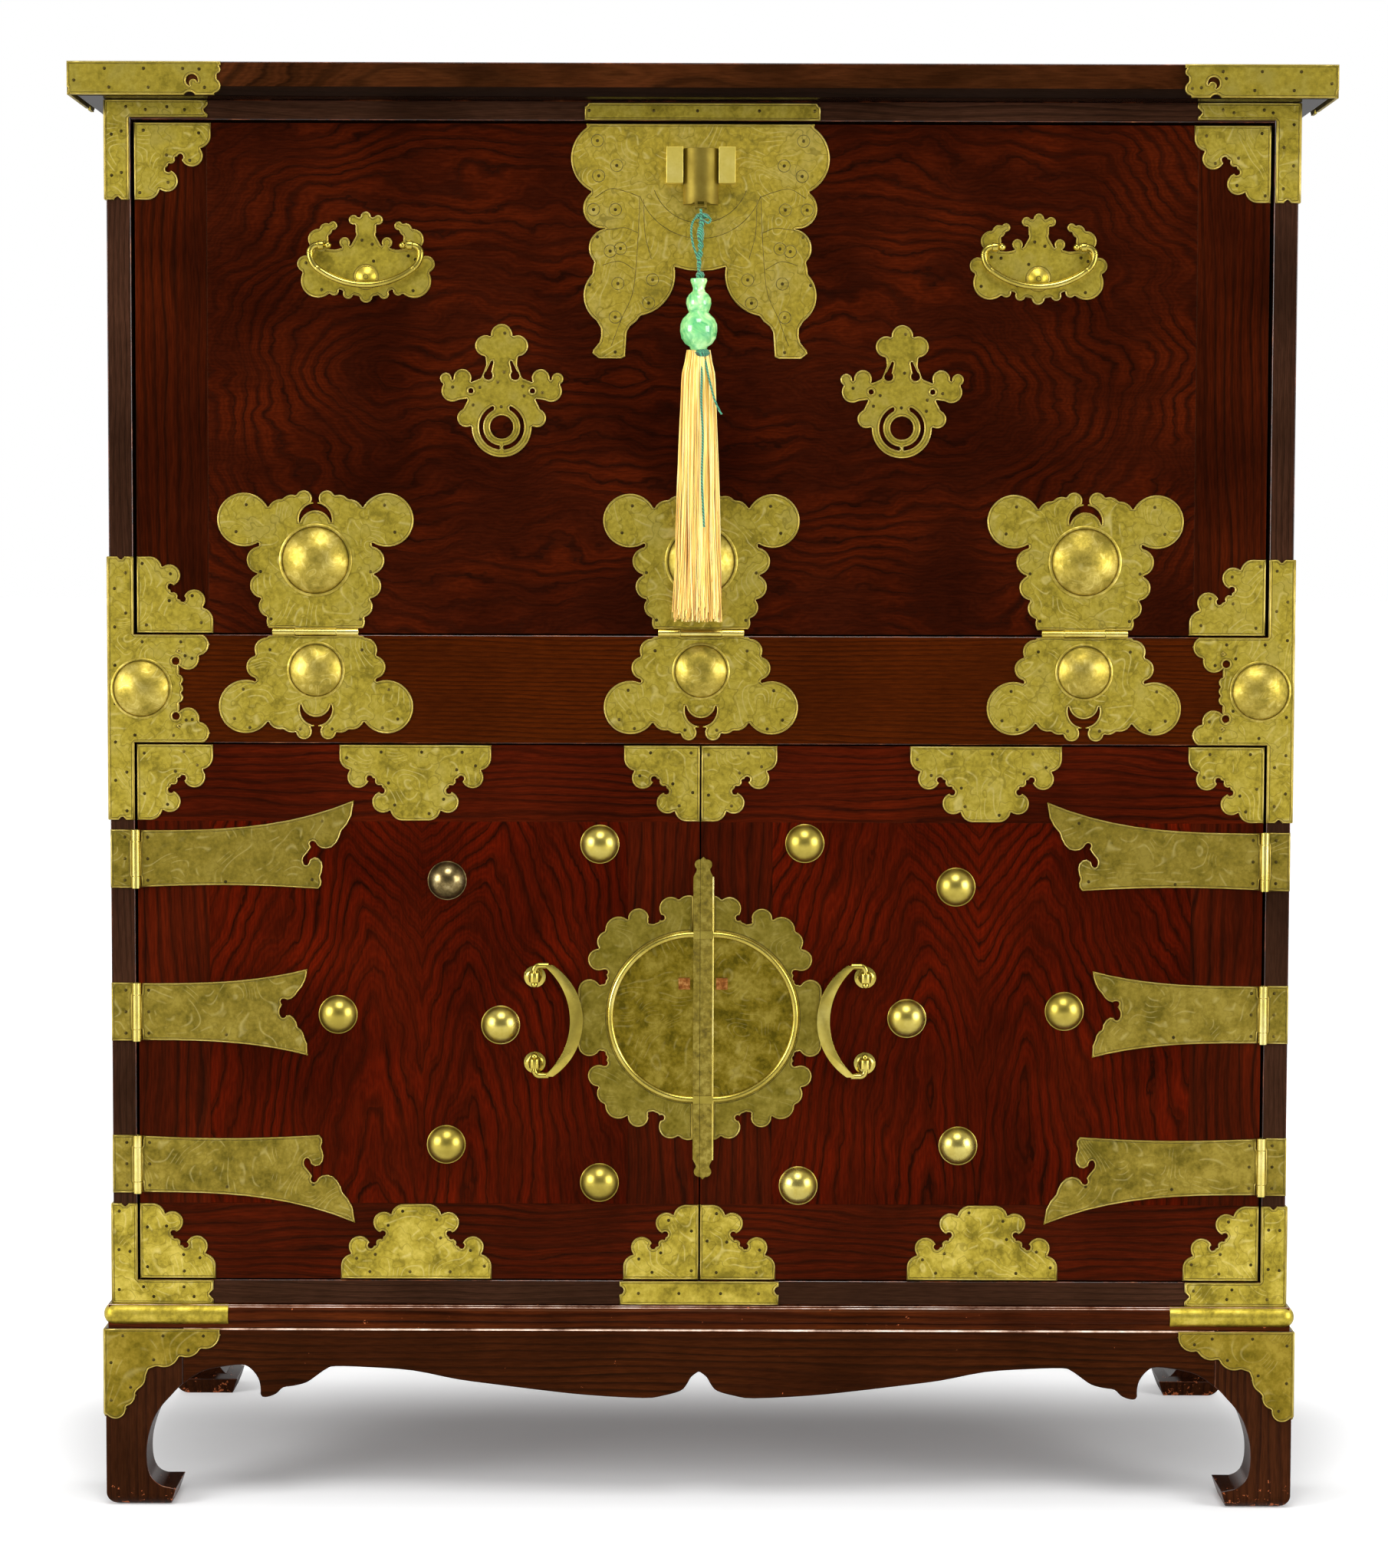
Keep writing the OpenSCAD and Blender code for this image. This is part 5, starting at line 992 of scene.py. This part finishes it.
def makeNails(s):
    r, h = s["radius"], s["height"]
    head = lathe("nailHead", [(r, 0), (0.86 * r, 0.55 * h), (0.45 * r, 0.9 * h), (0, h)], steps=8)
    ringProfile = [(s["ringRadius"] - s["ringHalf"], 0), (s["ringRadius"], s["ringHeight"]),
        (s["ringRadius"] + s["ringHalf"], 0)]
    ring = lathe("nailRing", ringProfile, steps=16)
    listed = nailPlaces(s)
    byBody, rings = {}, []
    for node in rimmed:
        if node in listed:
            xs, zs = zip(*listed[node])
            found = onPlate(brassPieces[node], xs, zs)
        elif node.endswith("lock_half"):
            continue
        else:
            found = edgeNails(node, s)
        byBody.setdefault(bodyOf[node], []).extend(found)
        if node == "lock_plate":
            reach = s["ringRadius"] + s["ringClear"]
            for spot in found:
                x, z = spot[0].x / mm, spot[0].z / mm
                beside = (x - reach, x + reach, x, x), (z, z, z - reach, z + reach)
                rings += [spot] if len(onPlate(brassPieces[node], *beside)) == 4 else []
    for body, places in byBody.items():
        placed = placeShapes(pieceName(body) + "Nails", head, places, brassMaterials["nailBrass"])
        joinBody(placed, body)
    joinBody(placeShapes("lockPlateNailRings", ring, rings, grime), bodyOf["lock_plate"])
    for shape in (head, ring):
        bpy.data.objects.remove(shape)
    return sum(len(places) for places in byBody.values())


print("nails placed:", makeNails(nails))

studDome = {"radius": 15.3, "height": 10.0, "flange": 0.7, "flangeHeight": 0.7}
domes = {
    "stud": studDome, "darkStud": studDome,
    "flapBoss": {"radius": 28.5, "height": 11.5, "flange": 2.6, "flangeHeight": 1.3},
    "railBoss": {"radius": 22.5, "height": 8.5, "flange": 2.2, "flangeHeight": 1.2},
    "sideBoss": {"radius": 24.0, "height": 9.0, "flange": 2.2, "flangeHeight": 1.2},
}
domeFinish = {"stud": "studBrass", "darkStud": "darkStud"}
domePlaces = {
    # kind, the plate under it, and its places across and up on the front, in mm
    "left_door_studs": [
        ("stud", 0, [(-79, 526.7), (-285, 391.7), (-157, 383.7), (-200, 288.7), (-79, 258.7)]),
        ("darkStud", 0, [(-199, 497.7)])],
    "right_door_studs": [
        ("stud", 0, [(82, 527.7), (201, 493.7), (287, 395.7), (163, 389.7), (204, 288.7), (78, 256.7)])],
    "flap_bosses": [("flapBoss", chest["plate"], [(x, 748.7) for x in chest["hinges"]])],
    "rail_bosses": [("railBoss", chest["plate"], [(x, 662.7) for x in chest["hinges"]]),
                    ("sideBoss", chest["plate"], [(-438.25, 648), (438.25, 648)])],
}


def domeProfile(s):
    # flange, a groove, then a round crown
    inner = s["radius"] - s["flange"]
    foot = 0.75 * s["flangeHeight"]
    crownHeight = s["height"] - foot
    crownRadius = (inner ** 2 + crownHeight ** 2) / (2 * crownHeight)
    reach = math.asin(inner / crownRadius)
    crown = [(crownRadius * math.sin(a), s["height"] - crownRadius * (1 - math.cos(a)))
             for a in (reach * (1 - k / 14) for k in range(15))]
    top = s["flangeHeight"]
    return [(s["radius"], 0), (s["radius"], 0.6 * top), (s["radius"] - 0.35 * s["flange"], top),
        (inner + 0.2 * s["flange"], top), (inner + 0.05, 0.5 * foot)] + crown


for node, groups in domePlaces.items():
    parts = []
    for kind, out, places in groups:
        shape = lathe(kind + "Shape", domeProfile(domes[kind]), steps=64)
        spots = [(Vector((x, chest["front"] - out, z)) * mm, ahead, 1.0) for x, z in places]
        finish = brassMaterials[domeFinish.get(kind, "bossBrass")]
        parts.append(placeShapes(pieceName(node) + kind.title(), shape, spots, finish))
        bpy.data.objects.remove(shape)
    for part in parts:
        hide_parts(node)
        joinBody(part, bodyOf[node])
print("domes placed")


# Bead, knots and tassel

tasselShape = {
    # lengths in mm; neck is how far down the bundle widens, and its share of the width above that
    "beadX": -2.6, "gourdY": -223.0, "topZ": 910.9, "length": 211, "topWidth": 27, "tipWidth": 40,
    "thick": 13, "lean": 4.5, "strands": 460, "strandRadius": 0.42, "wave": 1.6, "seed": 7, "topIn": 1.0,
    "neck": (0.11, 0.72), "leanOver": 0.6, "halfWide": 0.46, "halfDeep": 0.45,
}
# each strand's own turn, place in the bundle, share of the length, phase, speed of its waves, and colour
strandChances = [(0, 6.283), (0.12, 1), (0.94, 0.998), (0, 6.283), (3.5, 9), (0, 1)]
# gourd outline: radius and height in mm
gourdProfile = [
    (0, 910.9), (4.5, 911.0), (6.4, 912.6), (7.0, 914.4), (10.5, 916.6), (13.4, 921.0), (14.5, 926.6),
    (14.2, 931.6), (12.4, 936.0), (9.2, 939.2), (7.6, 941.0), (8.6, 943.4), (9.8, 947.6), (9.4, 951.6),
    (7.4, 954.8), (5.0, 956.8), (4.4, 959.0), (5.4, 962.0), (6.6, 965.2), (6.2, 966.8), (0, 967.0)]
bead = lathe("gourdBead", gourdProfile, jade, (tasselShape["beadX"], tasselShape["gourdY"], 0))
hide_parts("gourd_bead")
joinBody(bead, "tassel")


def strandTree(s):
    # strands of a bundle: each spreads from the neck, waves more towards its tip and leans forwards
    tree, add, given = newTree("hangingStrands", {
        "Count": "Int", "Length": "Float", "Top Width": "Float", "Tip Width": "Float", "Thickness": "Float",
        "Lean": "Float", "Wave": "Float", "Radius": "Float", "Seed": "Int", "Finish": "Material"})
    line = add("CurvePrimitiveLine", {"Start": (0, 0, 0), "End": (0, 0, -1)})
    fine = add("ResampleCurve", {"Curve": line, "Count": 24})
    points = add("Points", {"Count": given["Count"]})
    copies = add("InstanceOnPoints", {"Points": points, "Instance": fine})
    strands = add("RealizeInstances", (copies,))
    number = add("CurveOfPoint").outputs["Curve Index"]
    u = add("SplineParameter").outputs["Factor"]
    chances = []
    for shift, (low, high) in enumerate(strandChances):
        seed = add("Math.ADD", (given["Seed"], shift))
        chance = add("RandomValue", {"Min": low, "Max": high, "ID": number, "Seed": seed}, data_type="FLOAT")
        chances.append(chance.outputs[1])
    spin, area, share, phase, speed, tone = chances
    reach = add("Math.SQRT", (area,))
    flare = add("MapRange", (u, 0, *s["neck"]), interpolation_type="SMOOTHSTEP")
    flare = add("Math.MULTIPLY", (flare, reach))
    width = add("MapRange", (u, 0, 1, given["Top Width"], given["Tip Width"]))
    spread = add("Math.MULTIPLY", (width, flare))
    cosine = add("Math.COSINE", (spin,))
    sine = add("Math.SINE", (spin,))
    swing = add("Math.MULTIPLY_ADD", (speed, u, phase))
    swing = add("Math.SINE", (swing,))
    swing = add("Math.MULTIPLY", (swing, u))
    swing = add("Math.MULTIPLY", (swing, given["Wave"]))
    x = add("Math.MULTIPLY", (spread, cosine))
    x = add("Math.MULTIPLY_ADD", (x, s["halfWide"], swing))
    deep = add("Math.MULTIPLY", (flare, sine))
    deep = add("Math.MULTIPLY", (deep, given["Thickness"]))
    away = add("MapRange", (u, 0, s["leanOver"], 0, given["Lean"]))
    y = add("Math.MULTIPLY", (deep, s["halfDeep"]))
    y = add("Math.SUBTRACT", (y, away))
    long = add("Math.MULTIPLY", (share, given["Length"]))
    z = add("Math.MULTIPLY", (long, u))
    z = add("Math.MULTIPLY", (z, -1.0))
    place = add("CombineXYZ", (x, y, z))
    hung = add("SetPosition", {"Geometry": strands, "Position": place})
    toned = add("StoreNamedAttribute", {"Geometry": hung, "Name": "tone", "Value": tone}, data_type="FLOAT",
        domain="POINT")
    section = add("CurvePrimitiveCircle", {"Resolution": 4, "Radius": given["Radius"]})
    mesh = add("CurveToMesh", {"Curve": toned, "Profile Curve": section, "Fill Caps": True})
    smooth = add("SetShadeSmooth", {"Geometry": mesh, "Shade Smooth": True})
    top = tuple(c * mm for c in (s["beadX"], s["gourdY"], s["topZ"] + s["topIn"]))
    moved = add("Transform", {"Geometry": smooth, "Translation": top})
    return endTree(tree, moved, given["Finish"])


def makeTassel(s):
    piece = newPiece("tasselStrands", bpy.data.meshes.new("tasselStrands"))
    lengths = {"Length": "length", "Top Width": "topWidth", "Tip Width": "tipWidth", "Thickness": "thick",
               "Lean": "lean", "Wave": "wave", "Radius": "strandRadius"}
    runTree(piece, strandTree(s), Count=s["strands"], Seed=s["seed"], Finish=silk,
            **{label: s[key] * mm for label, key in lengths.items()})
    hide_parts("tassel")
    return joinBody(piece, "tassel")


greenSilk = {
    # knots: across and back from the bead's middle, height, radius and half height
    "knots": [(1.0, 1.0, 969.5, 3.4, 3.2), (2.6, -1.2, 909.6, 6.2, 3.6), (1.2, 1.0, 1001.0, 2.9, 7.0),
              (2.4, 6.0, 1015.2, 5.6, 2.6)],
    # loose threads: across and back from the bead's middle, and height
    "threads": [
        [(0.5, 1, 1016), (-4.5, 0, 1011), (-6.0, -1, 1003), (-4.6, -1, 993), (-1.5, 0, 984), (0.8, 0, 975)],
        [(2.0, 1, 1016), (6.5, 0, 1014.5), (9.0, 0, 1012), (7.0, -1, 1009.6), (3.0, 0, 1011.5)],
        [(2, 0, 910), (2.6, -6, 895), (2.2, -9, 872), (3.4, -11.5, 845), (2.8, -12.6, 812),
         (4.6, -13.2, 775)],
        [(4, 0, 910), (6.5, -5, 897), (9.5, -8, 884), (12.5, -9.5, 873), (15.6, -10, 866), (18, -10, 862)],
    ],
    "radius": 0.9, "plyOut": 1.7, "plyTurns": 3.5, "plyPoints": 9,
}


def makeGreenSilk(s):
    middle = Vector((tasselShape["beadX"], tasselShape["gourdY"], 0))
    lines = [[(middle + Vector(p)) * mm for p in thread] for thread in s["threads"]]
    # two plies wound round the cord above the bead
    for side in (0, math.pi):
        ply = []
        for i, point in enumerate(cordPoints[1:1 + s["plyPoints"]]):
            turn = side + 2 * math.pi * s["plyTurns"] * i / s["plyPoints"]
            ply.append(point + Vector((math.cos(turn), math.sin(turn), 0)) * s["plyOut"] * mm)
        lines.append(ply)
    lines = [smoothLine(line) for line in lines]
    pieces = [sweepLines("looseThreads", lines, s["radius"], silkGreen, sides=6)]
    for number, (x, y, z, radius, half) in enumerate(s["knots"]):
        turns = [math.radians(a) for a in range(-90, 91, 15)]
        profile = [(radius * math.cos(a) * (1 + 0.08 * math.cos(9 * a)), half * math.sin(a)) for a in turns]
        place = middle + Vector((x, y, z))
        pieces.append(lathe("silkKnot%d" % (number + 1), profile, silkGreen, place, steps=20))
    for piece in pieces:
        joinBody(piece, "tassel")
    return pieces


strands = makeTassel(tasselShape)
cordPieces = [bead, strands] + makeGreenSilk(greenSilk)
print("tassel made:", tasselShape["strands"], "strands")


# Floor, world and lamps

studio = {
    # lengths in m: footprint is half of the chest's, and the floor glows more away from it; the weaker glow
    # near it is a painted shadow under the chest
    "floorWhite": 0.82, "nearGlow": 0.09, "farGlow": 0.68, "glowReach": 0.28, "footprint": (0.44, 0.11),
    "shadeY": -0.05, "paperGrain": 0.01, "worldLight": 0.55, "darkSide": 0.2, "darkFrom": (-0.75, 0.25),
    "lamps": [
        {"name": "leftBox", "place": (-2.6, -1.9, 1.15), "size": 1.5, "watts": 74},
        {"name": "rightBox", "place": (2.6, -1.9, 1.05), "size": 1.5, "watts": 64},
        {"name": "topSoft", "place": (0.0, -2.0, 3.1), "size": 1.3, "watts": 54},
    ],
    "aim": (0, -0.2, 0.6), "floorFrom": (-30, -12), "floorTo": (30, 60),
}


def makeFloor(s):
    # white paper floor, which turns into the white backdrop away from the chest, with a painted shadow under
    # the chest
    material, add, shader, place = newMaterial("paperFloor")
    grain = add("TexNoise", {"Vector": place, "Scale": 30, "Detail": 3})
    white, grainy = s["floorWhite"], s["paperGrain"]
    tone = add("MapRange", (grain, 0, 1, white - grainy, white + grainy))
    # distance from the chest's footprint, where the glow drops to a painted shadow
    moved = add("VectorMath.SUBTRACT", (place, (0, s["shadeY"], 0)))
    folded = add("VectorMath.ABSOLUTE", (moved,))
    outside = add("VectorMath.SUBTRACT", (folded, (*s["footprint"], 0)))
    outside = add("VectorMath.MAXIMUM", (outside, (0, 0, 0)))
    away = add("VectorMath.LENGTH", (outside,))
    glow = add("MapRange", (away.outputs["Value"], 0, s["glowReach"], s["nearGlow"], s["farGlow"]),
        interpolation_type="SMOOTHSTEP")
    path = add("LightPath")
    glow = add("Math.MULTIPLY", (path.outputs["Is Camera Ray"], glow))
    feed(shader, {"Base Color": tone, "Roughness": 0.9, "Emission Color": (1, 1, 1, 1),
        "Emission Strength": glow})
    mesh = bpy.data.meshes.new("floor")
    (x0, y0), (x1, y1) = s["floorFrom"], s["floorTo"]
    mesh.from_pydata([(x0, y0, 0), (x1, y0, 0), (x1, y1, 0), (x0, y1, 0)], [], [(0, 1, 2, 3)])
    newPiece("floor", mesh, material)


def makeWorld(s):
    # white backdrop behind the chest for the camera and for gloss, a dim room on the camera's side
    world = bpy.data.worlds.new("studio")
    bpy.context.scene.world = world
    world.use_nodes = True
    world.node_tree.nodes.clear()
    add = partial(addNode, world.node_tree)
    path = add("LightPath")
    direction = add("TexCoord")
    axes = add("SeparateXYZ", (direction.outputs["Generated"],))
    room = add("MapRange", (axes.outputs["Y"], *s["darkFrom"], s["darkSide"]))
    glossy = add("Math.MAXIMUM", (path.outputs["Is Glossy Ray"], path.outputs["Is Transmission Ray"]))
    level = add("Mix", {"Factor": glossy, "A": s["worldLight"], "B": room}, data_type="FLOAT")
    level = add("Mix", {"Factor": path.outputs["Is Camera Ray"], "A": level.outputs["Result"], "B": 1.0},
        data_type="FLOAT")
    back = add("Background", {"Color": (1, 1, 1, 1), "Strength": level.outputs["Result"]})
    add("OutputWorld", {"Surface": back})


def makeLamps(s):
    for lamp in s["lamps"]:
        data = bpy.data.lights.new(lamp["name"], "AREA")
        data.size = lamp["size"]
        data.energy = lamp["watts"]
        light = linkObject(lamp["name"], data)
        light.location = lamp["place"]
        light.rotation_euler = (Vector(s["aim"]) - Vector(lamp["place"])).to_track_quat("-Z", "Y").to_euler()


makeFloor(studio)
makeWorld(studio)
makeLamps(studio)
bpy.context.scene.view_settings.view_transform = "Standard"
print("stage made")
